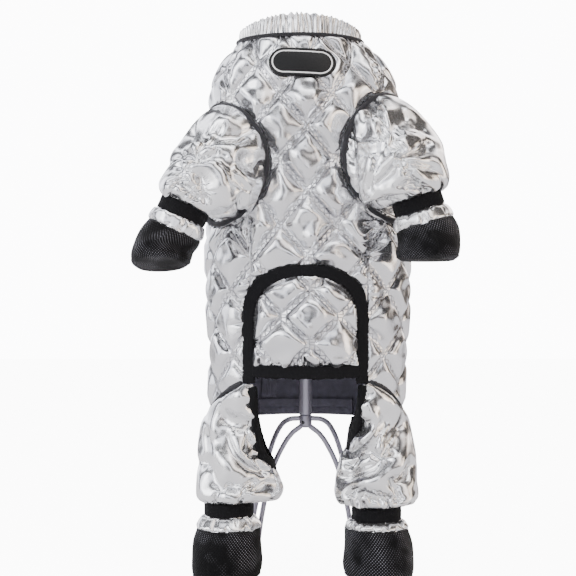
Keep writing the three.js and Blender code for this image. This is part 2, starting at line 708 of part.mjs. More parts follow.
function legPoint(name, turn, at, lift) {
  const { side } = PAWS[name];
  const table = LEGS[name];
  const middle = legMiddle(name, Math.max(at, 0));
  const point = middle.clone();
  point.x += side * LEG_WIDTH * along(table, "wide", at) * Math.cos(turn);
  point.y += LEG_WIDTH * along(table, "thick", at) * Math.sin(turn);
  point.lerp(legRoot(side, turn, 0), 1 - ease(0, 0.45, at));
  if (at < 0) point.z -= at * BODY_LENGTH;
  const pinch = along(table, "pinch", at);
  const puckers = GATHER * pinch * Math.sin(7 * turn + 5 * at) - 1.5 * GATHER * ease(0.5, 0.8, at) * Math.sin(16 * at);
  return point.add(point.clone().sub(middle).setLength(lift + puckers * (1 - ease(0.93, 1, at))));
}

const BINDING_ANGLE = 13;
const BINDING_STEPS = 18;

// The edge of the opening on the leg's inner side, a half ellipse on the leg's own surface.
function crotchPoint(name, sweep, out, lift) {
  const { low, angle } = CROTCH[name];
  const wider = angle + out * BINDING_ANGLE;
  const lower = low + (out * TAPE_WIDTH) / (bodyHeight(0.02) - footTop(name));
  const turn = Math.PI + radians(wider) * Math.cos(sweep);
  return legPoint(name, turn, lower * Math.sin(sweep), lift);
}

function hindLeg(name) {
  const shell = limbShell((turn, at, lift) => legPoint(name, turn, at, lift), 20, 10, 4, CLOTH_WALL);
  const reach = 5 * CLOTH_WALL;
  const { low, angle } = CROTCH[name];
  const [above, below] = [2, BINDING_STEPS / 2];
  const cutter = slab((across, down, side) => {
    const sweep = mix(-above / below, 1, down) * (Math.PI / 2);
    const wider = (angle + BINDING_ANGLE + 3.5) * Math.max(Math.cos(sweep), 0.04);
    const lower = low + (TAPE_WIDTH + 2 * GAP) / (bodyHeight(0.02) - footTop(name));
    const turn = Math.PI + radians(wider) * mix(-1, 1, across);
    return legPoint(name, turn, lower * Math.sin(sweep), side ? reach : -reach);
  }, 8, above + below);
  return mainBody(shell.subtract(cutter));
}

function legBinding(name) {
  return slab((down, out, side) => {
    const sweep = Math.PI * mix(0.04, CROTCH[name].end, down);
    return crotchPoint(name, sweep, out, side ? TAPE_WALL - CLOTH_WALL : -CLOTH_WALL);
  }, BINDING_STEPS, 1);
}

function hipPiping(name) {
  const { side } = PAWS[name];
  const points = [];
  const [start, end] = [radians(41), radians(141)];
  for (let i = 0; i <= 12; i += 1) {
    const turn = side * mix(start, end, i / 12);
    points.push(trunkPoint(turn, hipHeight(turn), 0.5));
  }
  return openCord(points, PIPING, 5, 12);
}

// Feet: a frame has a middle and a rotation, with x to +X, y to the back and z up along the foot.
function frameOf(middle, side, lean, turn, pitch) {
  const angles = new THREE.Euler(-radians(pitch), side * radians(turn), -side * radians(lean), "XYZ");
  const euler = new THREE.Euler(angles.x, angles.z, angles.y, "YZX");
  return { middle, rotation: new THREE.Quaternion().setFromEuler(euler) };
}

function inFrame(frame, x, y, z) {
  return new THREE.Vector3(x, y, z).applyQuaternion(frame.rotation).add(frame.middle);
}

// The elastic cuff below a frame, with rounded edges.
function cuff(frame) {
  const profile = [[-1, 0.12], [0, 0], [0.15, 0.5], [0, 1], [-1, 0.88]];
  return band((i, j) => {
    const turn = (2 * Math.PI * i) / 16;
    const [out, down] = profile[j];
    const radius = CUFF_WIDTH / 2 + CUFF_WALL * out;
    return inFrame(frame, radius * Math.cos(turn), radius * Math.sin(turn), -CUFF_HEIGHT * down);
  }, 16, profile.length);
}

// The short gathered boot top between two frames.
function bootTop(upper, lower, mouth) {
  const columns = 18;
  const rows = [[0, 0], [0.5, 0], [1, 0], [1, -1], [0, -1]];
  return band((i, j) => {
    const turn = (2 * Math.PI * i) / columns;
    const [down, out] = rows[j];
    const pucker = (i % 2 ? 0.5 : -0.5) * GATHER * (down === 0.5 ? 1 : 0.4) * (out === 0 ? 1 : 0.4);
    const swell = Math.sin(Math.PI * down) * GATHER;
    const radius = mix(CUFF_WIDTH / 2 - CUFF_WALL * 0.2, mouth / 2 - 0.6, down) + pucker + swell + out * CLOTH_WALL * 0.8;
    const from = inFrame(upper, radius * Math.cos(turn), radius * Math.sin(turn), 0);
    return from.lerp(inFrame(lower, radius * Math.cos(turn), radius * Math.sin(turn), 0), down);
  }, columns, rows.length);
}

// A soft boot between its sole's frame and its mouth's frame.
function boot(sole, mouth, scale) {
  const columns = 16;
  const ring = (i, at, inset) => {
    const turn = (2 * Math.PI * i) / columns;
    const wide = (BOOT_WIDTH / 2) * scale * along(BOOT, "wide", at) - inset;
    const length = Math.cos(turn) > 0 ? along(BOOT, "toe", at) : along(BOOT, "heel", at);
    const long = BOOT_LENGTH * scale * length - inset;
    const [x, y] = [wide * Math.sin(turn), -long * Math.cos(turn)];
    const low = inFrame(sole, x, y, 0);
    const height = mouth.middle.distanceTo(sole.middle);
    const upright = inFrame(sole, x, y, height * at);
    const turned = inFrame(mouth, x, y, -height * (1 - at));
    return at === 0 ? low : upright.lerp(turned, ease(0, 1, at));
  };
  const floor = BOOT_SOLE / BOOT_HEIGHT;
  const rows = [[0, 0], [0.07, 0], [0.25, 0], [0.5, 0], [0.75, 0], [1, 0]];
  rows.push([1, BOOT_WALL], [0.7, BOOT_WALL], [0.3, BOOT_WALL], [floor, BOOT_WALL * 1.5]);
  return bag((i, j) => ring(i, ...rows[j]), columns, rows.length - 1);
}

function frontFoot(name) {
  const foot = FEET[`front_${name}`];
  const start = frameOf(sleeveMiddle(name, 1), foot.side, foot.lean, 0, 0);
  const cuffFrame = { ...start, middle: inFrame(start, 0, 0, -GAP) };
  const topFrame = { ...start, middle: inFrame(start, 0, 0, -CUFF_HEIGHT - 2 * GAP) };
  const endFrame = { ...start, middle: inFrame(start, 0, 0, -CUFF_HEIGHT - foot.top - 2 * GAP) };
  const mouth = { ...start, middle: inFrame(start, 0, 0, -CUFF_HEIGHT - foot.top - 3 * GAP) };
  const heel = mouth.middle.clone().add(new THREE.Vector3(foot.side * foot.out, foot.back, -foot.drop));
  const sole = frameOf(heel, foot.side, foot.roll, foot.turn, foot.pitch);
  return { cuffFrame, topFrame, endFrame, mouth, sole, scale: foot.scale };
}

function hindFoot(name) {
  const paw = PAWS[name];
  const ankle = legMiddle(name, 1);
  const level = (height, turn = 0) => frameOf(new THREE.Vector3(ankle.x, ankle.y, height), paw.side, 0, turn, 0);
  return {
    cuffFrame: level(footTop(name) - GAP),
    topFrame: level(BOOT_HEIGHT + paw.top + GAP),
    endFrame: level(BOOT_HEIGHT + GAP),
    mouth: level(BOOT_HEIGHT, paw.turn),
    sole: level(0, paw.turn),
    scale: 1,
  };
}

// Inside the back: the lining, its upright facing and the folded hem, thin sheets on the shell's inner wall.
function innerSheet(from, to, low, high, inset, thickness, columns) {
  return slab((across, up, side) => {
    const height = mix(bodyHeight(low), bodyHeight(high), up);
    const turn = Math.PI + radians(mix(from, to, across));
    return trunkPoint(turn, height, -QUILT_WALL - GAP - inset - (1 - side) * thickness);
  }, columns, 2);
}

// The stand
function turned(profile, sides) {
  return solidOf(new THREE.LatheGeometry(profile.map(([x, y]) => new THREE.Vector2(x, y)), sides).rotateX(Math.PI / 2));
}

const YOKE_HEIGHT = bodyHeight(0.9);

function pole() {
  const radius = POLE / 2;
  const [low, high] = [HUB_HEIGHT + GAP, YOKE_HEIGHT - YOKE / 2 - GAP];
  return turned([[0, low], [radius, low], [radius, high], [0, high]], 14);
}

function hub() {
  const [low, high] = [HUB_HEIGHT - POLE, HUB_HEIGHT];
  const radius = POLE / 2;
  return turned([[0, low], [radius * 0.7, low], [radius, low + 2], [radius, high], [0, high]], 14);
}

function yoke() {
  const { wide, aside } = trunkRing(YOKE_HEIGHT + YOKE / 2);
  const half = wide - QUILT_WALL - 4 * GAP;
  const bar = new THREE.CylinderGeometry(YOKE / 2, YOKE / 2, 2 * half, 10).rotateZ(Math.PI / 2);
  return solidOf(bar.translate(aside, 0, YOKE_HEIGHT));
}

// Each wire leaves the hub's side, bends over and runs down to its foot.
function standWire(side, back) {
  const spread = FOOT_SPREAD / 2;
  const reach = back ? FOOT_REACH : FOOT_REACH * 0.15;
  const rise = back ? -POLE * 0.25 : -POLE * 0.85;
  const start = POLE / 2 + GAP;
  const low = FOOT_HEIGHT + WIRE / 4;
  const fall = HUB_HEIGHT + rise - low;
  const stations = back
    ? [[0, 0], [0.16, 0.01], [0.28, 0.05], [0.4, 0.15], [0.49, 0.27], [0.57, 0.38], [0.68, 0.58], [0.78, 0.8], [0.86, 1]]
    : [[0, 0], [0.1, 0.05], [0.21, 0.115], [0.37, 0.255], [0.48, 0.4], [0.6, 0.66], [0.66, 0.85], [0.7, 1]];
  const points = stations.map(([out, down]) => new THREE.Vector3(
    side * (start + out * spread),
    reach * (back ? down ** 0.8 : down),
    HUB_HEIGHT + rise - fall * down,
  ));
  const wire = openCord(points, WIRE / 2, 6, 12);
  const end = points[points.length - 1];
  return { wire, end };
}

function standFoot(end) {
  const radius = FOOT_WIDTH / 2;
  const profile = [[0, 0], [radius, 0], [radius, FOOT_HEIGHT * 0.6], [radius * 0.7, FOOT_HEIGHT], [0, FOOT_HEIGHT]];
  return turned(profile, 12).translate([end.x, end.y, 0]);
}

// The finished group
const model = new THREE.Group();

function addPiece(name, solid, finish) {
  const mesh = solid.getMesh();
  const geometry = new THREE.BufferGeometry();
  geometry.setAttribute("position", new THREE.BufferAttribute(new Float32Array(mesh.vertProperties), 3));
  geometry.setIndex(new THREE.BufferAttribute(new Uint32Array(mesh.triVerts), 1));
  geometry.computeVertexNormals();
  const piece = new THREE.Mesh(geometry, new THREE.MeshStandardMaterial(MATERIALS[finish]));
  piece.name = name;
  model.add(piece);
}

const archCutter = frontCutter(new THREE.Shape(archOutline(-GAP, HEM_HEIGHT - BODY_LENGTH / 6)));
const shell = quiltedShell()
  .subtract(hipCutter())
  .subtract(archCutter)
  .subtract(armholeCutter(ARMHOLES.left))
  .subtract(armholeCutter(ARMHOLES.right));
addPiece("chest_panel", shell.intersect(frontCutter(chestShape(-GAP / 2))), "silver");
addPiece("back_shell", shell.subtract(frontCutter(chestShape(GAP / 2))), "silver");
addPiece("collar", collar(), "silver");
addPiece("collar_piping", collarPiping(), "piping");
addPiece("label_patch", labelPatch(), "label");
addPiece("arch_binding", archBinding(), "tape");
addPiece("cross_band", crossBand(), "tape");
addPiece("belly_flap", bellyFlap(), "silver");
addPiece("lining", innerSheet(-70, 70, 0.015, 0.25, 0, LINING_WALL, 12), "lining");
addPiece("lining_facing", innerSheet(20, 28, 0.045, 0.25, LINING_WALL + 3 * GAP, LINING_WALL, 2), "lining");
addPiece("rear_hem", innerSheet(-30, 30, 0.01, 0.04, LINING_WALL + 3 * GAP, LINING_WALL * 1.5, 10), "lining");

for (const name of ["left", "right"]) {
  const armhole = ARMHOLES[name];
  addPiece(`armhole_piping_${name}`, armholePiping(armhole, PIPING), "piping");
  addPiece(`sleeve_${name}`, sleeve(name), "sleeve");
  addPiece(`hip_piping_${name}`, hipPiping(name), "piping");
  addPiece(`hind_leg_${name}`, hindLeg(name), "sleeve");
  addPiece(`leg_binding_${name}`, legBinding(name), "tape");
  for (const [end, foot] of [["front", frontFoot(name)], ["hind", hindFoot(name)]]) {
    const mouth = BOOT_MOUTH * foot.scale;
    addPiece(`${end}_cuff_${name}`, cuff(foot.cuffFrame), "tape");
    addPiece(`${end}_boot_top_${name}`, bootTop(foot.topFrame, foot.endFrame, mouth), "sleeve");
    addPiece(`${end}_boot_${name}`, boot(foot.sole, foot.mouth, foot.scale), "mesh");
  }
}

addPiece("stand_pole", pole(), "stand");
addPiece("stand_hub", hub(), "stand");
addPiece("stand_yoke", yoke(), "stand");
for (const [name, side] of [["left", -1], ["right", 1]]) {
  for (const place of ["front", "back"]) {
    const { wire, end } = standWire(side, place === "back");
    addPiece(`stand_leg_${place}_${name}`, wire, "stand");
    addPiece(`stand_foot_${place}_${name}`, standFoot(end), "rubber");
  }
}

// The origin is under the middle of the whole, on the surface that it stands on.
const box = new THREE.Box3().setFromObject(model);
const centre = box.getCenter(new THREE.Vector3());
model.position.set(-centre.x, -centre.y, -box.min.z);

export default model;
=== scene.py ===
# %% [markdown]
# # A dog's quilted jumpsuit on its display stand
# The real thing is a padded suit of thin metallic cloth: a quilted trunk, two
# sleeves, two legs, four mesh boots, and black elastic where a dog's leg or
# belly has to slip through. It hangs upright on a plain wire stand.
# Every soft piece here starts as a smooth surface of two parameters, worked
# out as numpy arrays, and is then relaxed as cloth: the cloth is cut a little
# larger than the surface, held at its seams, and pushed out by its filling.

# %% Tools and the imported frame
import json

import bpy
import numpy as np
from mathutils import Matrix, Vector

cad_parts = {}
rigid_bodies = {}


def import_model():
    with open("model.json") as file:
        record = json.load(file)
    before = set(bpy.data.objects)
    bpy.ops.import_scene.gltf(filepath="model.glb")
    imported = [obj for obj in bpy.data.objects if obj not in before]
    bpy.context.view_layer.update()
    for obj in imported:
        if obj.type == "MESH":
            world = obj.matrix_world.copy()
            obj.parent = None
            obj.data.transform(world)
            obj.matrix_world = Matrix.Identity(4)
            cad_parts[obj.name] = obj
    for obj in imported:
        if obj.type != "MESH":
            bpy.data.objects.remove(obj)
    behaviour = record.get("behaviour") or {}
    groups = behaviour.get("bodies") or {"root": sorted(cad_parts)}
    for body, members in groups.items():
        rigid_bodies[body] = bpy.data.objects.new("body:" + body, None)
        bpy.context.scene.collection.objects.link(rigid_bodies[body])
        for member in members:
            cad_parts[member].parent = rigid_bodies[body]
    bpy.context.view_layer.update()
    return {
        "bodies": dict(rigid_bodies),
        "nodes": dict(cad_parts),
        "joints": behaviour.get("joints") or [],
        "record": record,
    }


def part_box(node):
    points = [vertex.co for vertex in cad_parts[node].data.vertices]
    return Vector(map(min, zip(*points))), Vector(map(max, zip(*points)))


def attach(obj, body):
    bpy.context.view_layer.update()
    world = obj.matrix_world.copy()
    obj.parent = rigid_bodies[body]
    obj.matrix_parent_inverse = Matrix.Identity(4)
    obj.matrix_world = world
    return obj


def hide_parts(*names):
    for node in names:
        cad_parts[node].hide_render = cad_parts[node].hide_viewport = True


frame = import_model()
MM = 0.001
pole_low, pole_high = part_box("stand_pole")
AXIS = np.array([(pole_low.x + pole_high.x) / 2, (pole_low.y + pole_high.y) / 2, 0.0])
random = np.random.default_rng(7)

# %% [markdown]
# The sizes and the small tables say the same as the CAD source does, so each
# cloth surface lies where its solid lies. A table has named columns, and each
# row holds shares of the named sizes.

# %% Sizes and tables
GAP = 0.3 * MM
QUILT_WALL = 3.2 * MM
CLOTH_WALL = 2.2 * MM
TAPE_WALL = 3.4 * MM
BODY_LENGTH = 293 * MM
HEM_HEIGHT = 118 * MM
CHEST_WIDTH = 154 * MM
CHEST_DEPTH = 116 * MM
DIAMONDS_ROUND = 10
DIAMOND_HEIGHT = 48.5 * MM
FLAP_DIAMOND = 40 * MM
QUILT_NODE = 0.757
FLAP_NODE = 0.345
PIPING = 1.4 * MM
ARMHOLE_HEIGHT = 92 * MM
ARMHOLE_ANGLE = 74
ARCH_WIDTH = 92.4 * MM
ARCH_HEIGHT = 87 * MM
ARCH_ROUND = 0.38
ARCH_MIDDLE = -0.004
TAPE_WIDTH = 8.4 * MM
TAPE_LOW = -1.4 * MM
BAND_HEIGHT = 9.8 * MM
SLEEVE_REACH = 50 * MM
LEG_WIDTH = 56 * MM
LEG_SWEEP = 0.468
LEG_REACH = 125
CUFF_WIDTH = 37 * MM
CUFF_HEIGHT = 10.4 * MM
CUFF_WALL = 2.4 * MM


def table(columns, rows):
    """A table with named columns, as one array for each name, sorted by its first column."""
    rows = np.array(sorted(rows), float)
    return dict(zip(columns.split(), rows.T))


TRUNK = table("at wide deep aside", [
    (-0.06, 0.95, 0.93, 0), (0.04, 0.96, 0.95, 0.003), (0.18, 0.965, 0.97, 0.012),
    (0.32, 1, 1, 0.012), (0.5, 1, 1, 0.008), (0.68, 0.99, 1, 0), (0.8, 0.97, 0.97, 0),
    (0.88, 0.9, 0.9, -0.008), (0.93, 0.81, 0.82, -0.013), (0.97, 0.695, 0.73, -0.017),
    (1, 0.617, 0.66, -0.028),
])
SEAMS = table("at left right", [
    (1.1, -0.29, 0.24), (1, -0.305, 0.262), (0.93, -0.362, 0.318), (0.85, -0.395, 0.37),
    (0.67, -0.375, 0.36), (0.53, -0.286, 0.332), (0.34, -0.272, 0.296), (0, -0.272, 0.29),
])
HIP = table("at up", [
    (0, 0.109), (0.19, 0.109), (0.28, 0.089), (0.39, 0.044), (0.5, 0.007), (0.72, -0.007),
    (1, -0.006),
])
ARMHOLES = {
    "left": {"side": -1, "turn": -59, "up": 0.666, "tall": 0.98},
    "right": {"side": 1, "turn": 58, "up": 0.683, "tall": 1.04},
}
SLEEVES = {
    "left": table("at out ahead drop wide thick tip turn", [
        (0, 0, 0, 0, 0.88, 1, 0, 38), (0.3, 0.07, 0.34, 0.22, 0.82, 0.71, 40, 36),
        (0.6, 0.17, 0.54, 0.42, 0.72, 0.6, 58, 22), (0.85, 0.35, 0.62, 0.54, 0.55, 0.5, 65, 8),
        (1, 0.46, 0.642, 0.63, 0.37, 0.37, 66, 0),
    ]),
    "right": table("at out ahead drop wide thick tip turn", [
        (0, 0, 0, 0, 0.86, 1, 0, 38), (0.3, 0.04, 0.36, 0.2, 0.8, 0.76, 40, 36),
        (0.6, 0.1, 0.54, 0.4, 0.7, 0.64, 60, 22), (0.85, 0.24, 0.6, 0.54, 0.52, 0.5, 70, 8),
        (1, 0.31, 0.6, 0.63, 0.36, 0.36, 73, 0),
    ]),
}
LEGS = {
    "left": table("at out ahead wide thick", [
        (0, 0.93, 0, 0.45, 0.95), (0.25, 0.94, 0.1, 0.45, 0.72), (0.5, 0.93, 0.25, 0.46, 0.58),
        (0.72, 0.9, 0.36, 0.49, 0.5), (0.93, 0.93, 0.41, 0.47, 0.47), (1, 1.05, 0.43, 0.33, 0.33),
    ]),
    "right": table("at out ahead wide thick", [
        (0, 0.93, 0, 0.45, 0.95), (0.25, 0.985, 0.1, 0.4, 0.7), (0.5, 0.99, 0.25, 0.43, 0.56),
        (0.72, 0.96, 0.36, 0.455, 0.5), (0.93, 0.96, 0.41, 0.46, 0.47),
        (1, 0.957, 0.43, 0.33, 0.33),
    ]),
}
CROTCH = {"left": {"low": 0.53, "angle": 55, "end": 0.93}, "right": {"low": 0.29, "angle": 55, "end": 0.86}}
BINDING_ANGLE = 13


def ease(low, high, value):
    """A smooth step: 0 below low, 1 above high, and 3t^2 - 2t^3 between them."""
    t = np.clip((value - low) / (high - low), 0, 1)
    return t * t * (3 - 2 * t)


def along(rows, column, at):
    """A table's column at each place, on one cubic Hermite curve through its rows, level past its ends."""
    x, y = rows["at"], rows[column]
    at = np.asarray(at, float)
    slope = np.empty_like(y)
    slope[1:-1] = (y[2:] - y[:-2]) / (x[2:] - x[:-2])
    slope[0] = (y[1] - y[0]) / (x[1] - x[0])
    slope[-1] = (y[-1] - y[-2]) / (x[-1] - x[-2])
    i = np.clip(np.searchsorted(x, at) - 1, 0, len(x) - 2)
    span = x[i + 1] - x[i]
    t = np.clip((at - x[i]) / span, 0, 1)
    level = y[i] * (1 + 2 * t) * (1 - t) ** 2 + y[i + 1] * (3 - 2 * t) * t**2
    return level + span * (slope[i] * t * (1 - t) ** 2 - slope[i + 1] * (1 - t) * t**2)


def unit(vectors):
    """Vectors scaled to length one."""
    return vectors / (np.linalg.norm(vectors, axis=-1, keepdims=True) + 1e-12)


def body_height(share):
    """The height at a share of the way from the hem to the neck."""
    return HEM_HEIGHT + share * BODY_LENGTH


def trunk_ring(height):
    """Half width, half depth and sideways shift of the trunk's ellipse at a height."""
    at = (height - HEM_HEIGHT) / BODY_LENGTH
    wide = CHEST_WIDTH / 2 * along(TRUNK, "wide", at)
    deep = CHEST_DEPTH / 2 * along(TRUNK, "deep", at)
    return wide, deep, CHEST_WIDTH * along(TRUNK, "aside", at)


def trunk(turn, height, lift=0.0):
    """Points (aside + wide sin turn, -deep cos turn, height), moved outwards by lift, level with the floor."""
    turn, height, lift = np.broadcast_arrays(turn, height, lift)
    wide, deep, aside = trunk_ring(height)
    level = np.zeros_like(wide)
    out = unit(np.stack([deep * np.sin(turn), -wide * np.cos(turn), level], -1))
    place = np.stack([aside + wide * np.sin(turn), -deep * np.cos(turn), height], -1)
    return place + lift[..., None] * out + AXIS


def even_turn(share):
    """Turns for equal lengths of cloth: 2 pi s less a little sin(4 pi s), as the trunk is flatter than a circle."""
    flatness = (CHEST_WIDTH - CHEST_DEPTH) / (2 * (CHEST_WIDTH + CHEST_DEPTH))
    return 2 * np.pi * share - flatness * np.sin(4 * np.pi * share)


def turn_across(x, height):
    """The turn, on the belly side, at a place across the trunk."""
    wide, _, aside = trunk_ring(height)
    return np.arcsin(np.clip((x - aside) / wide, -1, 1))


def hip_height(turn):
    """Where the legs are sewn on, at a turn from the belly."""
    return body_height(along(HIP, "up", np.abs(turn) / np.pi))


ARCH_FOOT = hip_height(0.0) - PIPING + 2 * GAP
BAND_TOP = ARCH_FOOT + BAND_HEIGHT + 4.4 * MM
print("arch foot and band top (mm):", round(ARCH_FOOT * 1000, 1), round(BAND_TOP * 1000, 1))

# %% [markdown]
# ## Cloth on a grid
# Thin metallic cloth over wadding hardly stretches, so all its spare length
# turns into folds. Blender's Cloth could find them, but a fine quilt would
# take minutes. Here a grid of points is relaxed in numpy: each link between
# neighbours is drawn back to the length it was cut to, points on seams are
# held, and the filling pushes outwards. Links are handled in alternate sets,
# as whole arrays, first on a coarse grid for the big folds and then finer.

# %% Relaxing a sheet
def draw_together(a, b, rest, pull, push):
    """Moves each pair towards its rest length: by pull where it is too long, by push where too short."""
    gap = b - a
    length = np.sqrt((gap * gap).sum(-1, keepdims=True)) + 1e-9
    miss = 1 - rest[..., None] / length
    gap *= 0.5 * np.where(miss > 0, pull, push) * miss
    a += gap
    b -= gap


def link(sheet, rest, pull, push):
    """Links each point with the next one across, in two alternate sets."""
    for first in (0, 1):
        pairs = (sheet.shape[1] - first) // 2
        last = first + 2 * pairs
        draw_together(sheet[:, first:last:2], sheet[:, first + 1:last:2],
                      rest[:, first:last:2][:, :pairs], pull, push)


def spread_out(sheet, rest, push):
    """Keeps points two apart from folding together, in blocks of four."""
    spare = np.zeros(sheet.shape[:2], sheet.dtype)
    spare[:, :-2] = rest[:, 1:] + rest[:, :-1]
    for first in (0, 2):
        blocks = (sheet.shape[1] - first) // 4
        last = first + 4 * blocks
        part = sheet[:, first:last].reshape(len(sheet), blocks, 4, 3)
        wide = spare[:, first:last].reshape(len(sheet), blocks, 4)
        draw_together(part[:, :, :2], part[:, :, 2:], wide[:, :, :2], 0.0, push)


def facing(sheet, closed):
    """Unit normals of a grid: the cross product of its slopes across and along."""
    across = np.gradient(sheet, axis=1)
    if closed:
        across[:, 0] = across[:, -1] = sheet[:, 1] - sheet[:, -2]
    return unit(np.cross(across, np.gradient(sheet, axis=0)))


def relax_level(sheet, base, out, held, target, cut, steps, how):
    """Steps of relaxation on one grid: fill, draw the links, smooth, hold the seams, stay between two depths."""
    across, upward = cut
    loose = (1 - held)[..., None]
    slant = np.sqrt(across[:-1] ** 2 + upward[:, :-1] ** 2)
    turned = sheet.swapaxes(0, 1)
    for step in range(steps):
        if step % 3 == 0:
            push_out = facing(sheet, how["closed"]) * loose * how["filling"]
        sheet += push_out
        link(sheet, across, how["pull"], how["push"])
        link(turned, upward.T, how["pull"], how["push"])
        for first in (0, 1):
            rows = (sheet.shape[0] - first) // 2
            part, mate = sheet[first:first + 2 * rows:2], sheet[first + 1:first + 2 * rows:2]
            wide = slant[first::2][:rows]
            draw_together(part[:, :-1], mate[:, 1:], wide, how["shear"], how["shear"])
            draw_together(part[:, 1:], mate[:, :-1], wide, how["shear"], how["shear"])
        spread_out(sheet, across, how["bend"])
        spread_out(turned, upward.T, how["bend"])
        around = (sheet[1:-1, :-2] + sheet[1:-1, 2:] + sheet[:-2, 1:-1] + sheet[2:, 1:-1]) / 4
        sheet[1:-1, 1:-1] += how["smooth"] * loose[1:-1, 1:-1] * (around - sheet[1:-1, 1:-1])
        sheet += held[..., None] * (target - sheet)
        depth = ((sheet - base) * out).sum(-1)
        over = np.maximum(how["floor"] - depth, 0) - 0.5 * np.maximum(depth - how["ceiling"], 0)
        sheet += out * over[..., None]
        if how["closed"]:
            sheet[:, 0] = sheet[:, -1] = (sheet[:, 0] + sheet[:, -1]) / 2
    return sheet


def finer(values):
    """A grid of values with a new row and column half way between each two."""
    rows, columns = values.shape[:2]
    fine = np.empty((2 * rows - 1, 2 * columns - 1) + values.shape[2:], values.dtype)
    fine[::2, ::2] = values
    fine[1::2, ::2] = (values[1:] + values[:-1]) / 2
    fine[:, 1::2] = (fine[:, :-1:2] + fine[:, 2::2]) / 2
    return fine


def soft_noise(rows, columns, size, closed=False):
    """Smooth seeded noise about 1 high, with bumps of so many grid cells: blurred normal numbers."""
    waves = random.standard_normal((rows, columns))
    reach = np.hypot(np.fft.fftfreq(rows)[:, None], np.fft.fftfreq(columns)[None, :])
    blurred = np.fft.ifft2(np.fft.fft2(waves) * np.exp(-(reach * size * 2.2) ** 2)).real
    if closed:
        blurred[:, -1] = blurred[:, 0]
    return blurred / blurred.std()


def relax_cloth(base, spare, held, target, how, steps=(90, 60, 36)):
    """Lays a sheet on a base surface and relaxes it on three grids, coarse to fine.

    base is the grid of points (its sides are 4n + 1 points long), spare how much longer than
    the base the cloth was cut, across and along, held from 0 to 1 how firmly a point is sewn
    down, and target where it is sewn to. The result is a grid of points like base.
    """
    base = base.astype(np.float32)
    out = facing(base, how["closed"])
    across = np.linalg.norm(base[:, 1:] - base[:, :-1], axis=-1)
    upward = np.linalg.norm(base[1:] - base[:-1], axis=-1)
    across *= 1 + (spare[0][:, 1:] + spare[0][:, :-1]) / 2
    upward *= 1 + (spare[1][1:] + spare[1][:-1]) / 2
    moved = None
    for level, count in zip((4, 2, 1), steps):
        cut = (sum(across[::level, k::level] for k in range(level)).astype(np.float32),
               sum(upward[k::level, ::level] for k in range(level)).astype(np.float32))
        ground = base[::level, ::level].copy()
        way = out[::level, ::level]
        if moved is None:
            rough = soft_noise(*ground.shape[:2], 3, how["closed"]) * how["start"]
            sheet = ground + way * rough[..., None].astype(np.float32)
        else:
            sheet = ground + finer(moved)
        here = dict(how, filling=how["filling"] * (level / 4) ** 1.3,
                    ceiling=how["ceiling"][::level, ::level], floor=how["floor"])
        firm = held[::level, ::level].astype(np.float32)
        aim = target[::level, ::level].astype(np.float32)
        sheet = relax_level(np.ascontiguousarray(sheet), ground, way, firm, aim, cut, count, here)
        moved = sheet - ground
    return sheet.astype(float)


def how_to_relax(shape, closed=False, filling=0.25 * MM, ceiling=6 * MM, floor=-0.6 * MM,
                 push=0.45, bend=0.12, smooth=0.06, shear=0.12, start=0.5 * MM, pull=0.9):
    """The words that relax_cloth needs, with the values of thin metallic cloth over wadding."""
    return dict(closed=closed, filling=filling, ceiling=np.broadcast_to(ceiling, shape), floor=floor,
                push=push, bend=bend, smooth=smooth, shear=shear, start=start, pull=pull)


print("cloth solver ready")

# %% [markdown]
# ## Cutting a grid along a curve
# A panel's edge seldom runs along a grid's rows. Where a link of the grid
# crosses the edge, its nearer end is slid along the link onto the edge, so
# that each triangle ends up wholly on one side, and the edge is smooth.

# %% Edges, walls and meshes
def slide_to_edge(p, q, side_of):
    """Slides grid parameters p and q onto the curve side_of(p, q) = 0 and returns the sides, 0 on the curve."""
    side = side_of(p, q)
    for down, right in ((0, 1), (1, 0), (1, 1)):
        a = (slice(0, p.shape[0] - down), slice(0, p.shape[1] - right))
        b = (slice(down, p.shape[0]), slice(right, p.shape[1]))
        crossing = side[a] * side[b] < 0
        share = np.where(crossing, side[a] / (side[a] - side[b] + 1e-30), 0)
        near = crossing & (share < 0.5)
        far = crossing & ~near
        for grid in (p, q):
            step = grid[b] - grid[a]
            grid_a, grid_b = grid[a].copy(), grid[b].copy()
            grid[a] = np.where(near, grid_a + share * step, grid[a])
            grid[b] = np.where(far, grid_b - (1 - share) * step, grid[b])
        side[a] = np.where(near, 0, side[a])
        side[b] = np.where(far, 0, side[b])
    return side


def grid_triangles(rows, columns):
    """Two triangles for each square of a grid, split from its first corner to the opposite one."""
    corner = np.arange(rows * columns).reshape(rows, columns)
    a, b, c, d = corner[:-1, :-1], corner[:-1, 1:], corner[1:, 1:], corner[1:, :-1]
    return np.stack([np.stack([a, b, c], -1), np.stack([a, c, d], -1)], 2).reshape(-1, 3)


def kept(triangles, *sides):
    """The triangles that lie on the positive side of every edge."""
    keep = np.ones(len(triangles), bool)
    for side in sides:
        keep &= side.ravel()[triangles].sum(1) > 1e-12
    return triangles[keep]


def rim_of(triangles, count):
    """The directed edges that only one triangle uses."""
    edges = np.concatenate([triangles[:, [0, 1]], triangles[:, [1, 2]], triangles[:, [2, 0]]])
    code, back = edges[:, 0] * count + edges[:, 1], edges[:, 1] * count + edges[:, 0]
    return edges[~np.isin(code, back)]


def walled(outer, inner, triangles):
    """A closed shell: an outer and an inner skin on the same triangles, joined round their rim."""
    count = len(outer)
    rim = rim_of(triangles, count)
    a, b = rim[:, 0], rim[:, 1]
    edge = np.concatenate([np.stack([b, a, a + count], 1), np.stack([b, a + count, b + count], 1)])
    faces = np.concatenate([triangles, triangles[:, ::-1] + count, edge])
    return np.concatenate([outer, inner]), faces


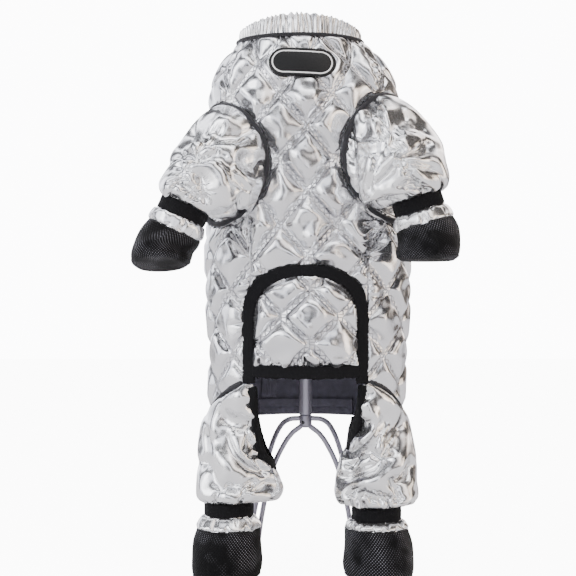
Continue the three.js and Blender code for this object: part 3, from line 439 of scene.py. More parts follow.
def make_piece(name, points, faces, material, replaces=(), cloth=None, smooth=True):
    """A mesh object from arrays of points and faces; cloth gives each point its place on the flat cloth, in metres."""
    points = np.asarray(points, float).reshape(-1, 3)
    faces = np.asarray(faces)
    used, back = np.unique(faces, return_inverse=True)
    points, faces = points[used], back.reshape(faces.shape)
    mesh = bpy.data.meshes.new(name)
    mesh.vertices.add(len(points))
    mesh.vertices.foreach_set("co", points.astype(np.float32).ravel())
    sides = faces.shape[1]
    mesh.loops.add(faces.size)
    mesh.loops.foreach_set("vertex_index", faces.astype(np.int32).ravel())
    mesh.polygons.add(len(faces))
    mesh.polygons.foreach_set("loop_start", np.arange(0, faces.size, sides, dtype=np.int32))
    if cloth is not None:
        flat = np.asarray(cloth, float).reshape(-1, 2)[used][faces.ravel()]
        mesh.uv_layers.new(name="cloth").data.foreach_set("uv", flat.astype(np.float32).ravel())
    mesh.update()
    mesh.validate()
    mesh.polygons.foreach_set("use_smooth", np.full(len(mesh.polygons), smooth))
    mesh.materials.append(material)
    piece = bpy.data.objects.new(name, mesh)
    bpy.context.scene.collection.objects.link(piece)
    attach(piece, "root")
    if replaces:
        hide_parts(*replaces)
    print(f"{name}: {len(points)} points, {len(mesh.polygons)} faces")
    return piece


# %% [markdown]
# ## Finishes
# The suit's cloth is a thin film of metal on woven polyester: it mirrors its
# surroundings softly, and its fine crushing breaks the mirror up. The black
# elastic and the boots' mesh are matt textiles. The same two effects, a weave
# and a crushed film, serve several cloths, so each is one node group.

# %% Shader groups
def add_sockets(group, inputs, outputs):
    """Names a node group's inputs, with their values, and its outputs."""
    for name, kind, value in inputs:
        socket = group.interface.new_socket(name=name, in_out="INPUT", socket_type=kind)
        if value is not None:
            socket.default_value = value
    for name, kind in outputs:
        group.interface.new_socket(name=name, in_out="OUTPUT", socket_type=kind)


def put(tree, kind, values=None, **settings):
    """Adds a node with its settings and the values of its unlinked inputs."""
    node = tree.nodes.new(kind)
    for key, value in settings.items():
        setattr(node, key, value)
    for key, value in (values or {}).items():
        node.inputs[key].default_value = value
    return node


def wire(tree, *pairs):
    """Links pairs of sockets."""
    for start, end in pairs:
        tree.links.new(start, end)


def crushed_film_group():
    """Height of a crushed metallic film: soft large dents, finer creases, and a grain."""
    group = bpy.data.node_groups.new("crushed film", "ShaderNodeTree")
    add_sockets(group, [("Size", "NodeSocketFloat", 1.0)],
                [("Height", "NodeSocketFloat"), ("Worn", "NodeSocketFloat")])
    entry, leave = put(group, "NodeGroupInput"), put(group, "NodeGroupOutput")
    place = put(group, "ShaderNodeTexCoord")
    sized = put(group, "ShaderNodeVectorMath", operation="SCALE")
    dents = put(group, "ShaderNodeTexNoise", {"Scale": 95.0, "Detail": 3.0, "Roughness": 0.45, "Distortion": 0.6})
    creases = put(group, "ShaderNodeTexNoise", {"Scale": 210.0, "Detail": 2.0, "Roughness": 0.5})
    ridge = put(group, "ShaderNodeMath", {1: 0.5}, operation="SUBTRACT")
    fold = put(group, "ShaderNodeMath", operation="ABSOLUTE")
    mixed = put(group, "ShaderNodeMath", {1: 0.35}, operation="MULTIPLY")
    total = put(group, "ShaderNodeMath", operation="ADD")
    worn = put(group, "ShaderNodeTexNoise", {"Scale": 28.0, "Detail": 4.0, "Roughness": 0.6})
    wire(group, (place.outputs["Object"], sized.inputs[0]), (entry.outputs["Size"], sized.inputs["Scale"]),
         (sized.outputs[0], dents.inputs["Vector"]), (sized.outputs[0], creases.inputs["Vector"]),
         (sized.outputs[0], worn.inputs["Vector"]),
         (creases.outputs["Fac"], ridge.inputs[0]), (ridge.outputs[0], fold.inputs[0]),
         (fold.outputs[0], mixed.inputs[0]), (dents.outputs["Fac"], total.inputs[0]),
         (mixed.outputs[0], total.inputs[1]), (total.outputs[0], leave.inputs["Height"]),
         (worn.outputs["Fac"], leave.inputs["Worn"]))
    return group


def weave_group():
    """A plain weave on the piece's own cloth map: warp and weft threads as two crossed waves."""
    group = bpy.data.node_groups.new("weave", "ShaderNodeTree")
    add_sockets(group, [("Threads per metre", "NodeSocketFloat", 2200.0), ("Ribs", "NodeSocketFloat", 0.0)],
                [("Height", "NodeSocketFloat")])
    entry, leave = put(group, "NodeGroupInput"), put(group, "NodeGroupOutput")
    flat = put(group, "ShaderNodeUVMap", uv_map="cloth")
    sized = put(group, "ShaderNodeVectorMath", operation="SCALE")
    parts = put(group, "ShaderNodeSeparateXYZ")
    wire(group, (flat.outputs["UV"], sized.inputs[0]), (entry.outputs["Threads per metre"], sized.inputs["Scale"]),
         (sized.outputs[0], parts.inputs[0]))
    waves = []
    for axis in ("X", "Y"):
        turn = put(group, "ShaderNodeMath", {1: 2 * np.pi}, operation="MULTIPLY")
        wave = put(group, "ShaderNodeMath", operation="SINE")
        wire(group, (parts.outputs[axis], turn.inputs[0]), (turn.outputs[0], wave.inputs[0]))
        waves.append(wave)
    cross = put(group, "ShaderNodeMath", operation="MULTIPLY")
    both = put(group, "ShaderNodeMix", data_type="FLOAT")
    wire(group, (waves[0].outputs[0], cross.inputs[0]), (waves[1].outputs[0], cross.inputs[1]),
         (entry.outputs["Ribs"], both.inputs["Factor"]), (cross.outputs[0], both.inputs["A"]),
         (waves[0].outputs[0], both.inputs["B"]), (both.outputs["Result"], leave.inputs["Height"]))
    return group


FILM = crushed_film_group()
WEAVE = weave_group()


def new_material(name, **values):
    """A material whose Principled shader has plain values on its own sockets."""
    material = bpy.data.materials.new(name)
    material.use_nodes = True
    shader = material.node_tree.nodes["Principled BSDF"]
    for key, value in values.items():
        shader.inputs[key.replace("_", " ")].default_value = value
    return material, material.node_tree, shader


def ranged(tree, source, low, high, start=0.0, end=1.0):
    """A value spread from one range to another."""
    node = put(tree, "ShaderNodeMapRange", {"From Min": start, "From Max": end, "To Min": low, "To Max": high})
    wire(tree, (source, node.inputs["Value"]))
    return node.outputs["Result"]


def tinted(tree, source, dark, light):
    """A colour between two colours."""
    node = put(tree, "ShaderNodeMix", data_type="RGBA")
    node.inputs["A"].default_value = (*dark, 1)
    node.inputs["B"].default_value = (*light, 1)
    wire(tree, (source, node.inputs["Factor"]))
    return node.outputs["Result"]


def bumped(tree, shader, height, distance, strength=1.0, over=None):
    """A bump node into the shader's normal, on top of another one if given."""
    bump = put(tree, "ShaderNodeBump", {"Distance": distance, "Strength": strength})
    wire(tree, (height, bump.inputs["Height"]), (bump.outputs["Normal"], shader.inputs["Normal"]))
    if over is not None:
        wire(tree, (over.outputs["Normal"], bump.inputs["Normal"]))
    return bump


def silver_cloth(name, tone, rough, crush):
    """Metallic film on cloth: a soft mirror, rougher where it is worn, crushed and finely woven."""
    material, tree, shader = new_material(name, Metallic=0.92)
    film = put(tree, "ShaderNodeGroup", {"Size": 1.0}, node_tree=FILM)
    weave = put(tree, "ShaderNodeGroup", {"Threads per metre": 1700.0}, node_tree=WEAVE)
    worn = film.outputs["Worn"]
    light = tuple(min(value * 1.05, 1) for value in tone)
    dark = tuple(value * 0.93 for value in tone)
    wire(tree, (tinted(tree, worn, dark, light), shader.inputs["Base Color"]),
         (ranged(tree, worn, rough - 0.05, rough + 0.07, 0.3, 0.7), shader.inputs["Roughness"]))
    place = put(tree, "ShaderNodeTexCoord")
    swell = put(tree, "ShaderNodeTexNoise", {"Scale": 40.0, "Detail": 1.0, "Roughness": 0.4})
    wire(tree, (place.outputs["Object"], swell.inputs["Vector"]))
    broad = bumped(tree, shader, swell.outputs["Fac"], 16 * MM, 0.8)
    first = bumped(tree, shader, film.outputs["Height"], 0.5 * MM, crush, over=broad)
    bumped(tree, shader, weave.outputs["Height"], 0.02 * MM, 0.25, over=first)
    return material


SILVER = (0.79, 0.795, 0.815)
QUILT_CLOTH = silver_cloth("quilted silver cloth", SILVER, 0.17, 0.4)
PLAIN_CLOTH = silver_cloth("plain silver cloth", (0.87, 0.875, 0.885), 0.14, 0.35)
print("materials:", [m.name for m in bpy.data.materials])

# %% [markdown]
# ## The quilted trunk
# The trunk is two cloths with wadding between, sewn together along crossing
# diagonals. Each row of stitches holds the cloth down, and each diamond
# swells between them. One fine grid goes right round: its points lie closer
# on the belly side, and its rows run from the rear hem to the neck. The two
# panels and the holes are then cut out of it.

# %% The trunk's grid and its edges
ROWS, COLUMNS = 257, 345
whole = np.linspace(-0.5, 0.5, COLUMNS)
share = whole - 0.3 / (2 * np.pi) * np.sin(2 * np.pi * whole)
heights = np.linspace(body_height(-0.007) - 1.5 * MM, body_height(1), ROWS)
share, height = np.meshgrid(share, heights)
turn = even_turn(share)


def armhole_reach(armhole, turn, height):
    """How far a place lies from an armhole's middle: 1 on its edge, by the rule of an ellipse."""
    across = (turn - np.radians(armhole["turn"])) / np.radians(ARMHOLE_ANGLE / 2)
    up = (height - body_height(armhole["up"])) / (ARMHOLE_HEIGHT / 2 * armhole["tall"])
    return np.hypot(across, up)


def arch_side(x, height, inset):
    """Above 0 outside the arch, below 0 inside: |x|^p + |y|^p - 1, with straight sides under its spring."""
    half = ARCH_WIDTH / 2 - inset
    top = body_height(HIP["up"][0]) + ARCH_HEIGHT - inset
    spring = top - ARCH_ROUND * ARCH_WIDTH + inset * 0.2
    power = 2 / 0.86
    across = np.abs(x - CHEST_WIDTH * ARCH_MIDDLE) / half
    rise = np.maximum(height - spring, 0) / (top - spring)
    return across**power + rise**power - 1


def seam_turn(side, height):
    """The turn at which the chest panel's side seam runs."""
    at = (height - HEM_HEIGHT) / BODY_LENGTH
    return turn_across(CHEST_WIDTH * along(SEAMS, side, at), height)


def beyond_armhole(armhole):
    """The rule that is 0 on the edge of an armhole's cut."""
    grow = (PIPING + GAP) / (ARMHOLE_HEIGHT / 2)
    return lambda turn, height: armhole_reach(armhole, turn, height) - 1 - grow


def beyond_arch(turn, height):
    """The rule that is 0 on the arch's cut, on the belly side only."""
    x = trunk(turn, height)[..., 0] - AXIS[0]
    return np.where(np.cos(turn) > 0, arch_side(x, height, 0.8 * MM), 1.0)


EDGES = {
    "hip": lambda turn, height: (height - hip_height(turn) - PIPING / 2) / CHEST_WIDTH,
    "arch": beyond_arch,
    "left armhole": beyond_armhole(ARMHOLES["left"]),
    "right armhole": beyond_armhole(ARMHOLES["right"]),
    "left seam": lambda turn, height: turn - seam_turn("left", height),
    "right seam": lambda turn, height: seam_turn("right", height) - turn,
}
for rule in EDGES.values():
    slide_to_edge(turn, height, rule)
sides = {name: rule(turn, height) for name, rule in EDGES.items()}
for name in sides:
    sides[name][np.abs(sides[name]) < 1e-7] = 0

# %% [markdown]
# How the cloth is held: firmly along the stitched diagonals, which are bands
# 3 mm wide, and along every seam. It is cut 4 to 8% longer than the trunk, and
# more beside the right seam and the armholes, where it is gathered in.

# %% Relaxing the trunk
def quilt_phases(share, height):
    """The two diagonals that a place lies on: whole numbers on the stitched lines."""
    across = share * DIAMONDS_ROUND
    up = (height - body_height(QUILT_NODE)) / DIAMOND_HEIGHT
    return across + up, across - up


def quilt_distance(share, height):
    """Distance to the nearest stitched line: the phase's distance to a whole number over its slope."""
    wide, deep, _ = trunk_ring(height)
    round_it = np.pi * (3 * (wide + deep) - np.sqrt((3 * wide + deep) * (wide + 3 * deep)))
    slope = np.hypot(DIAMONDS_ROUND / round_it, 1 / DIAMOND_HEIGHT)
    return np.min([np.abs(p - np.round(p)) / slope for p in quilt_phases(share, height)], axis=0)


base = trunk(turn, height, -0.8 * MM)
wide_here, deep_here, _ = trunk_ring(height)
stitched = quilt_distance(share, height)
x_here = base[..., 0] - AXIS[0]
label_reach = np.hypot((x_here + 0.02 * CHEST_WIDTH) / (25 * MM), (height - body_height(0.92)) / (12.5 * MM))
label_reach = np.where(np.cos(turn) > 0, label_reach, 9)
seam_gap = {side: np.abs(sides[f"{side} seam"]) * wide_here for side in ("left", "right")}
arm_gap = np.minimum(sides["left armhole"], sides["right armhole"]) * ARMHOLE_HEIGHT / 2
arch_gap = np.where(np.cos(turn) > 0, sides["arch"], 9) * ARCH_WIDTH / 5
hip_gap = sides["hip"] * CHEST_WIDTH
neck_gap = body_height(1) - height
in_front = np.cos(turn) > 0

held = 0.85 * np.exp(-((np.maximum(stitched - 1.2 * MM, 0) / (0.55 * MM)) ** 2))
held *= ease(0.95, 1.1, label_reach)
for gap in (*seam_gap.values(), arm_gap, arch_gap, hip_gap, neck_gap):
    held = np.maximum(held, 1 - ease(0.2 * MM, 1.5 * MM, gap))
held = np.maximum(held, 0.5 * (1 - ease(0.8, 1.0, label_reach)))

gathered = 0.24 * np.exp(-((seam_gap["right"] / (9 * MM)) ** 2)) * in_front * ease(0.36, 0.44, (height - HEM_HEIGHT) / BODY_LENGTH)
gathered += 0.1 * np.exp(-((seam_gap["left"] / (7 * MM)) ** 2)) * in_front
gathered += 0.1 * np.exp(-((arm_gap / (9 * MM)) ** 2)) + 0.12 * np.exp(-((arch_gap / (8 * MM)) ** 2))
spare_across = 0.085 + 0.035 * soft_noise(ROWS, COLUMNS, 22, True)
spare_up = 0.095 + 0.035 * soft_noise(ROWS, COLUMNS, 22, True) + gathered
calm = np.clip(neck_gap / (20 * MM), 0, 1)
flank = ease(0.55, 0.95, np.abs(np.sin(turn)))
room = np.minimum(np.minimum(arm_gap, arch_gap), np.minimum(hip_gap, neck_gap))
how = how_to_relax(base.shape[:2], closed=True, filling=0.12 * MM,
                   ceiling=1.3 * MM + (5.6 - 2.6 * flank) * MM * ease(0, 14 * MM, room), floor=-0.4 * MM, bend=0.09, smooth=0.05)
target = base + facing(base, True) * (0.3 * MM * (stitched < 0.6 * MM))[..., None]
trunk_cloth = relax_cloth(base, (spare_across, spare_up * calm), held, target, how)
print("the cloth stands off its base by up to (mm):", round(float(np.abs(trunk_cloth - base).max() * 1000), 1))

# %% Cutting the panels out
joined = np.arange(ROWS * COLUMNS)
joined[COLUMNS - 1::COLUMNS] = joined[::COLUMNS]
squares = grid_triangles(ROWS, COLUMNS)
body = kept(squares, sides["hip"], sides["arch"], sides["left armhole"], sides["right armhole"])
chest = kept(body, sides["left seam"], sides["right seam"])
numbered = np.array([ROWS * COLUMNS, 1])
back = body[~np.isin(np.sort(body)[:, :2] @ numbered + np.sort(body)[:, 2] * 1000003,
                     np.sort(chest)[:, :2] @ numbered + np.sort(chest)[:, 2] * 1000003)]
inner = trunk(turn, height, -QUILT_WALL)
flat = np.stack([share * 0.43, height], -1).reshape(-1, 2)
for name, panel in (("chest_panel", chest), ("back_shell", back)):
    points, faces = walled(trunk_cloth.reshape(-1, 3), inner.reshape(-1, 3), joined[panel])
    make_piece(f"{name}_cloth", points, faces, QUILT_CLOTH, [name],
               cloth=np.concatenate([flat, flat]))

# %% [markdown]
# ## Sleeves and legs
# Each limb is a tube of plain cloth with a thin wadding. Its root is sewn
# round a hole or along the hip, and its end is drawn into an elastic cuff.
# The tube is a ring that swings and shrinks as it goes down: parameter turn
# goes round it, and at goes from 0 at the root to 1 at the cuff.

# %% Limb surfaces
def armhole_loop(armhole, turn, grow=0.0, lift=0.0):
    """The armhole's ellipse on the trunk: its height follows sin turn and its place round the trunk cos turn."""
    half = ARMHOLE_HEIGHT / 2 * armhole["tall"]
    widening = 1 + grow / half
    height = body_height(armhole["up"]) + half * widening * np.sin(turn)
    swing = np.radians(ARMHOLE_ANGLE / 2) * widening * np.cos(turn) * armhole["side"]
    return trunk(np.radians(armhole["turn"]) + swing, height, lift)


def sleeve_middle(name, at):
    """The middle of a sleeve's ring: the armhole's middle, moved by the table's shares of the reach."""
    armhole, rows = ARMHOLES[name], SLEEVES[name]
    root = trunk(np.radians(armhole["turn"]), body_height(armhole["up"])) - AXIS
    shift = np.stack([armhole["side"] * along(rows, "out", at), -along(rows, "ahead", at),
                      -along(rows, "drop", at)], -1)
    inwards = 1 - np.cos(np.radians(ARMHOLE_ANGLE / 2))
    depth = (CHEST_WIDTH + CHEST_DEPTH) / 4 * inwards * 0.5 * (1 - ease(0, 0.4, at))
    level = root * [1, 1, 0] / np.hypot(root[0], root[1])
    return root - depth[..., None] * level + SLEEVE_REACH * shift + AXIS


def sleeve_surface(name, turn, at):
    """An ellipse round the sleeve's middle, tipped and turned, blended into the armhole's loop at its root."""
    turn, at = np.broadcast_arrays(turn, at)
    armhole, rows = ARMHOLES[name], SLEEVES[name]
    side, half = armhole["side"], ARMHOLE_HEIGHT / 2 * armhole["tall"]
    swing, tip = np.radians(along(rows, "turn", at)), np.radians(along(rows, "tip", at))
    backwards = np.stack([side * np.sin(swing), np.cos(swing), 0 * swing], -1)
    upwards = np.stack([side * np.cos(swing) * np.sin(tip), -np.sin(swing) * np.sin(tip), np.cos(tip)], -1)
    wide = half * along(rows, "wide", at) * np.cos(turn)
    thick = half * along(rows, "thick", at) * np.sin(turn)
    ring = sleeve_middle(name, at) + wide[..., None] * backwards + thick[..., None] * upwards
    blend = (1 - ease(0, 0.4, at))[..., None]
    return ring + blend * (armhole_loop(armhole, turn, -PIPING - GAP) - ring)


def leg_root(side, turn):
    """The line where a leg is sewn on: along the hip outside, and straight across between its ends inside."""
    degrees = np.degrees(turn) % 360
    signed = np.where(degrees > 180, degrees - 360, degrees)

    def on_trunk(value):
        angle = side * np.radians(90 + LEG_SWEEP * value)
        return trunk(angle, hip_height(angle) - PIPING - GAP)

    across = ((degrees - LEG_REACH) / (360 - 2 * LEG_REACH))[..., None]
    inside = on_trunk(LEG_REACH) * (1 - across) + on_trunk(-LEG_REACH) * across
    return np.where(np.abs(signed)[..., None] <= LEG_REACH, on_trunk(signed), inside)


PAWS = {"left": {"side": -1, "top": 9 * MM, "turn": 20}, "right": {"side": 1, "top": 5.5 * MM, "turn": 20}}
BOOT_HEIGHT = 38 * MM


def foot_top(name):
    """The height of a hind cuff's upper edge."""
    return BOOT_HEIGHT + PAWS[name]["top"] + CUFF_HEIGHT + 3 * GAP


def leg_middle(name, at):
    """The middle of a leg's ring, by the table's shares of the leg's width."""
    at = np.clip(at, 0, 1)
    rows, side = LEGS[name], PAWS[name]["side"]
    height = body_height(0.02) + (foot_top(name) - body_height(0.02)) * at
    return np.stack([side * LEG_WIDTH * along(rows, "out", at), -LEG_WIDTH * along(rows, "ahead", at),
                     height], -1) + AXIS


def leg_surface(name, turn, at):
    """An ellipse level with the floor round the leg's middle, blended into the hip line at its root."""
    turn, at = np.broadcast_arrays(turn, at)
    rows, side = LEGS[name], PAWS[name]["side"]
    ring = leg_middle(name, at)
    ring[..., 0] += side * LEG_WIDTH * along(rows, "wide", at) * np.cos(turn)
    ring[..., 1] += LEG_WIDTH * along(rows, "thick", at) * np.sin(turn)
    return ring + (1 - ease(0, 0.45, at))[..., None] * (leg_root(side, turn) - ring)


# %% [markdown]
# A line of elastic is sewn down the front of each sleeve. It gathers the
# cloth along its own length, so folds run out from it like ribs. It is a
# table of places round the sleeve, and the cloth near it is cut half as long
# again.

# %% Folds
FOLDS = {
    "left sleeve": [
        [(0.32, 112), (0.3, 124), (0.24, 138), (0.11, 144)], [(0.35, 142), (0.36, 160), (0.4, 179), (0.39, 203)],
        [(0.42, 128), (0.36, 136), (0.35, 150)], [(0.29, 160), (0.28, 175), (0.24, 185), (0.14, 182)],
        [(0.59, 142), (0.72, 167), (0.86, 200)], [(0.77, 130), (0.84, 164), (0.9, 195)],
        [(0.7, 240), (0.6, 228), (0.42, 205)], [(0.29, 70), (0.29, 85), (0.3, 108)],
        [(0.43, 70), (0.4, 92), (0.42, 112)], [(0.55, 92), (0.6, 104), (0.7, 112)],
    ],
    "right sleeve": [
        [(0.08, 151), (0.2, 178), (0.3, 216), (0.4, 235)], [(0.27, 172), (0.3, 200), (0.22, 222)],
        [(0.35, 146), (0.36, 166), (0.42, 188), (0.57, 210)], [(0.5, 153), (0.56, 176), (0.57, 198)],
        [(0.3, 142), (0.26, 150), (0.19, 160)], [(0.4, 147), (0.32, 158), (0.25, 174)],
        [(0.55, 145), (0.63, 132), (0.7, 115)], [(0.46, 138), (0.48, 120), (0.43, 98)],
        [(0.67, 239), (0.78, 218), (0.86, 196)], [(0.8, 250), (0.9, 230), (0.85, 208)],
        [(0.08, 116), (0.17, 126), (0.25, 128)], [(0.75, 168), (0.86, 158), (0.9, 140)],
        [(0.28, 120), (0.29, 102), (0.33, 84)],
    ],
    "left leg": [
        [(0.22, 296), (0.28, 264), (0.3, 246)], [(0.33, 286), (0.42, 274), (0.56, 253), (0.66, 224)],
        [(0.33, 250), (0.4, 241), (0.64, 223)], [(0.87, 302), (0.79, 286), (0.79, 264), (0.72, 242)],
        [(0.92, 266), (0.82, 242), (0.73, 218)], [(0.54, 326), (0.74, 311), (0.86, 292)],
        [(0.6, 340), (0.45, 330), (0.3, 326)],
    ],
    "right leg": [
        [(0.56, 210), (0.42, 228), (0.39, 250), (0.46, 272)], [(0.46, 270), (0.34, 286), (0.27, 314)],
        [(0.38, 255), (0.3, 266), (0.25, 285)], [(0.68, 205), (0.6, 233), (0.53, 260), (0.44, 276)],
        [(0.64, 290), (0.76, 298), (0.9, 303)], [(0.86, 222), (0.81, 246), (0.85, 266), (0.88, 309)],
        [(0.55, 330), (0.66, 318), (0.7, 300)],
    ],
}
HIDDEN_FOLDS = 9


def folded(name, degrees, at, ring, length):
    """Firmness on the fold lines: exp(-(distance / width)^2), fading to nothing at each line's two ends.

    Each line goes through a few places (share of the limb's length, degrees round it). The limb's far
    side, which shows no folds of its own in the photograph, gets some short seeded ones.
    """
    lines = [np.array(line, float) for line in FOLDS[name]]
    for start in random.uniform(0.15, 0.75, HIDDEN_FOLDS):
        turn = random.uniform(-75, 75) + (90 if name.endswith("leg") else 330)
        bend, reach = random.uniform(-25, 25, 2), random.uniform(0.12, 0.25)
        lines.append(np.array([(start, turn), (start + reach / 2, turn + bend[0]), (start + reach, turn + bend[1])]))
    firm = np.zeros(at.shape)
    for line in lines:
        nearest, share = np.full(at.shape, np.inf), np.zeros(at.shape)
        for k, (low, high) in enumerate(zip(line[:-1], line[1:])):
            up, across = (high - low) * [length, np.radians(1)]
            across = across * ring
            y = (at - low[0]) * length
            x = ((degrees - low[1] + 180) % 360 - 180) * np.radians(1) * ring
            t = np.clip((x * across + y * up) / (across**2 + up**2), 0, 1)
            distance = np.hypot(x - t * across, y - t * up)
            share = np.where(distance < nearest, (k + t) / (len(line) - 1), share)
            nearest = np.minimum(nearest, distance)
        firm = np.maximum(firm, np.sin(np.pi * share) ** 0.6 * np.exp(-((nearest / (1.1 * MM)) ** 2)))
    return firm


# %% Sewing the sleeves
RUCHES = {
    "left": table("at turn", [(0.3, 113), (0.44, 117), (0.61, 119.5), (0.855, 136), (0.97, 134)]),
    "right": table("at turn", [(0.22, 126), (0.315, 135), (0.37, 141), (0.505, 146), (0.615, 153), (0.85, 159)]),
}
SLEEVE_COLUMNS, SLEEVE_ROWS = 209, 81


def sew_sleeve(name):
    """Relaxes one sleeve and makes its two-skinned tube."""
    side = ARMHOLES[name]["side"]
    rows = np.sin(np.pi / 2 * np.linspace(0, 1, SLEEVE_ROWS))
    at, turn = np.meshgrid(rows, np.linspace(0, 2 * np.pi, SLEEVE_COLUMNS) * side, indexing="ij")
    base = sleeve_surface(name, turn, at)
    ring = np.linalg.norm(base - sleeve_middle(name, at), axis=-1)
    degrees = np.degrees(turn) % 360
    ruche = np.abs(degrees - along(RUCHES[name], "turn", at)) * np.pi / 180 * ring
    start = RUCHES[name]["at"][0]
    near = np.exp(-((ruche / (8 * MM)) ** 2)) * ease(start - 0.08, start + 0.04, at) * (1 - ease(0.93, 1, at))
    spare_up = 0.1 + 0.6 * near + 0.04 * soft_noise(SLEEVE_ROWS, SLEEVE_COLUMNS, 12, True)
    spare_across = 0.11 + 0.5 * ease(0.6, 1, at) + 0.35 * (1 - ease(0, 0.15, at)) + 0.1 * near
    held = np.maximum(1 - ease(0.0, 0.03, at), ease(0.985, 1, at))
    sunk = 0.55 * np.exp(-((ruche / (0.9 * MM)) ** 2)) * (near > 0.3)
    held = np.maximum(held, sunk)
    fold = folded(f"{name} sleeve", degrees, at, ring, SLEEVE_REACH * 1.3) * (sunk < 0.1)
    held = np.maximum(held, 0.5 * fold)
    out = facing(base, True)
    target = base - out * (1.2 * MM * (sunk > 0.05) + 2.6 * MM * (fold > 0.05))[..., None]
    end = np.minimum(ease(0, 0.24, at), ease(0, 0.14, 1 - at))
    how = how_to_relax(base.shape[:2], True, filling=0.08 * MM, ceiling=0.3 * MM + 5.4 * MM * end,
                       floor=-4 * MM, start=2.0 * MM, bend=0.08, smooth=0.04)
    cloth = relax_cloth(base, (spare_across, spare_up), held, target, how, (140, 90, 50))
    inner = base - out * (CLOTH_WALL + 2.2 * MM * end)[..., None]
    points, faces = walled(cloth.reshape(-1, 3), inner.reshape(-1, 3), grid_triangles(*at.shape))
    flat = np.stack([turn * 0.035, at * 0.09], -1).reshape(-1, 2)
    make_piece(f"sleeve_{name}_cloth", points, faces, PLAIN_CLOTH, [f"sleeve_{name}"],
               cloth=np.concatenate([flat, flat]))
    return cloth


sleeve_cloths = {name: sew_sleeve(name) for name in ("left", "right")}

# %% [markdown]
# A leg is cut open on its inner side, where a black binding gathers the
# cloth. The opening is half an ellipse in the leg's own two parameters.

# %% Sewing the legs
LEG_COLUMNS, LEG_ROWS = 193, 97


def crotch_side(name, turn, at, out):
    """0 on the opening's edge, moved outwards by so many binding widths: |turn|^2 + |at|^2 - 1 in its half sizes."""
    rule = CROTCH[name]
    away = np.pi - np.abs((turn + np.pi) % (2 * np.pi) - np.pi)
    low = rule["low"] + out * TAPE_WIDTH / (body_height(0.02) - foot_top(name))
    return np.hypot(away / np.radians(rule["angle"] + out * BINDING_ANGLE), at / low) - 1


def sew_leg(name):
    """Relaxes one hind leg, cuts its opening and makes its two-skinned tube."""
    side = PAWS[name]["side"]
    rows = np.sin(np.pi / 2 * np.linspace(0, 1, LEG_ROWS))
    at, turn = np.meshgrid(rows, -side * np.linspace(-np.pi, np.pi, LEG_COLUMNS), indexing="ij")
    at, turn = at.copy(), turn.copy()
    side_of = slide_to_edge(turn, at, lambda t, a: crotch_side(name, t, a, 0.45))
    at[:, -1], turn[:, -1] = at[:, 0], -turn[:, 0]
    base = leg_surface(name, turn, at)
    edge = side_of * 24 * MM
    spare_up = 0.1 + 0.4 * np.exp(-((edge / (8 * MM)) ** 2)) + 0.04 * soft_noise(*at.shape, 12, True)
    spare_across = 0.1 + 0.55 * ease(0.68, 1, at) + 0.25 * (1 - ease(0, 0.12, at))
    held = np.maximum(1 - ease(0.0, 0.03, at), ease(0.985, 1, at))
    held = np.maximum(held, 1 - ease(0, 1.2 * MM, edge))
    ring = np.linalg.norm(base - leg_middle(name, at), axis=-1)
    fold = folded(f"{name} leg", np.degrees(turn) % 360, at, ring, body_height(0) - foot_top(name))
    fold = fold * ease(0, 3 * MM, edge)
    held = np.maximum(held, 0.5 * fold)
    out = facing(base, True)
    target = base - out * (2.6 * MM * (fold > 0.05))[..., None]
    end = np.minimum(np.minimum(ease(0, 0.16, at), ease(0, 0.12, 1 - at)), ease(0, 9 * MM, edge))
    how = how_to_relax(base.shape[:2], True, filling=0.08 * MM, ceiling=0.6 * MM + 5 * MM * end,
                       floor=-3.4 * MM, start=2.0 * MM, bend=0.08, smooth=0.04)
    cloth = relax_cloth(base, (spare_across, spare_up), held, target, how, (140, 90, 50))
    inner = base - out * (CLOTH_WALL + 1.8 * MM * end)[..., None]
    points, faces = walled(cloth.reshape(-1, 3), inner.reshape(-1, 3), kept(grid_triangles(*at.shape), side_of))
    flat = np.stack([turn * 0.03, at * 0.09], -1).reshape(-1, 2)
    make_piece(f"hind_leg_{name}_cloth", points, faces, PLAIN_CLOTH, [f"hind_leg_{name}"],
               cloth=np.concatenate([flat, flat]))


for name in ("left", "right"):
    sew_leg(name)

# %% [markdown]
# ## The belly flap
# The flap is a small quilt under the belly, drawn together all round its
# edge by the elastic binding, so it bulges in the middle and puckers at the
# rim, most of all along the straight band.

# %% Sewing the flap
FLAP_COLUMNS, FLAP_ROWS = 117, 125
half = ARCH_WIDTH / 2 - TAPE_WIDTH + 2 * MM
flap_top = body_height(HIP["up"][0]) + ARCH_HEIGHT - TAPE_WIDTH
flap_x, flap_z = np.meshgrid(np.linspace(-half, half, FLAP_COLUMNS) + CHEST_WIDTH * ARCH_MIDDLE,
                             np.linspace(BAND_TOP - 2 * MM, flap_top + 2 * MM, FLAP_ROWS))
slide_to_edge(flap_x, flap_z, lambda x, z: -arch_side(x, z, TAPE_WIDTH - 0.8 * MM))
slide_to_edge(flap_x, flap_z, lambda x, z: z - BAND_TOP + 0.8 * MM)
flap_sides = [-arch_side(flap_x, flap_z, TAPE_WIDTH - 0.8 * MM), flap_z - BAND_TOP + 0.8 * MM]
for rule in flap_sides:
    rule[np.abs(rule) < 1e-7] = 0
within = np.minimum(flap_sides[0] * 20 * MM, flap_sides[1])
bulge = ease(-2 * MM, 26 * MM, within)
flap_base = trunk(turn_across(flap_x, flap_z), flap_z, TAPE_LOW + 1.2 * MM + 6.5 * MM * bulge)


def flap_phases(x, z):
    """The flap's two diagonals: whole numbers on its stitched lines."""
    across = (x - CHEST_WIDTH * 0.02) / FLAP_DIAMOND
    up = (z - body_height(FLAP_NODE)) / FLAP_DIAMOND
    return across + up, across - up


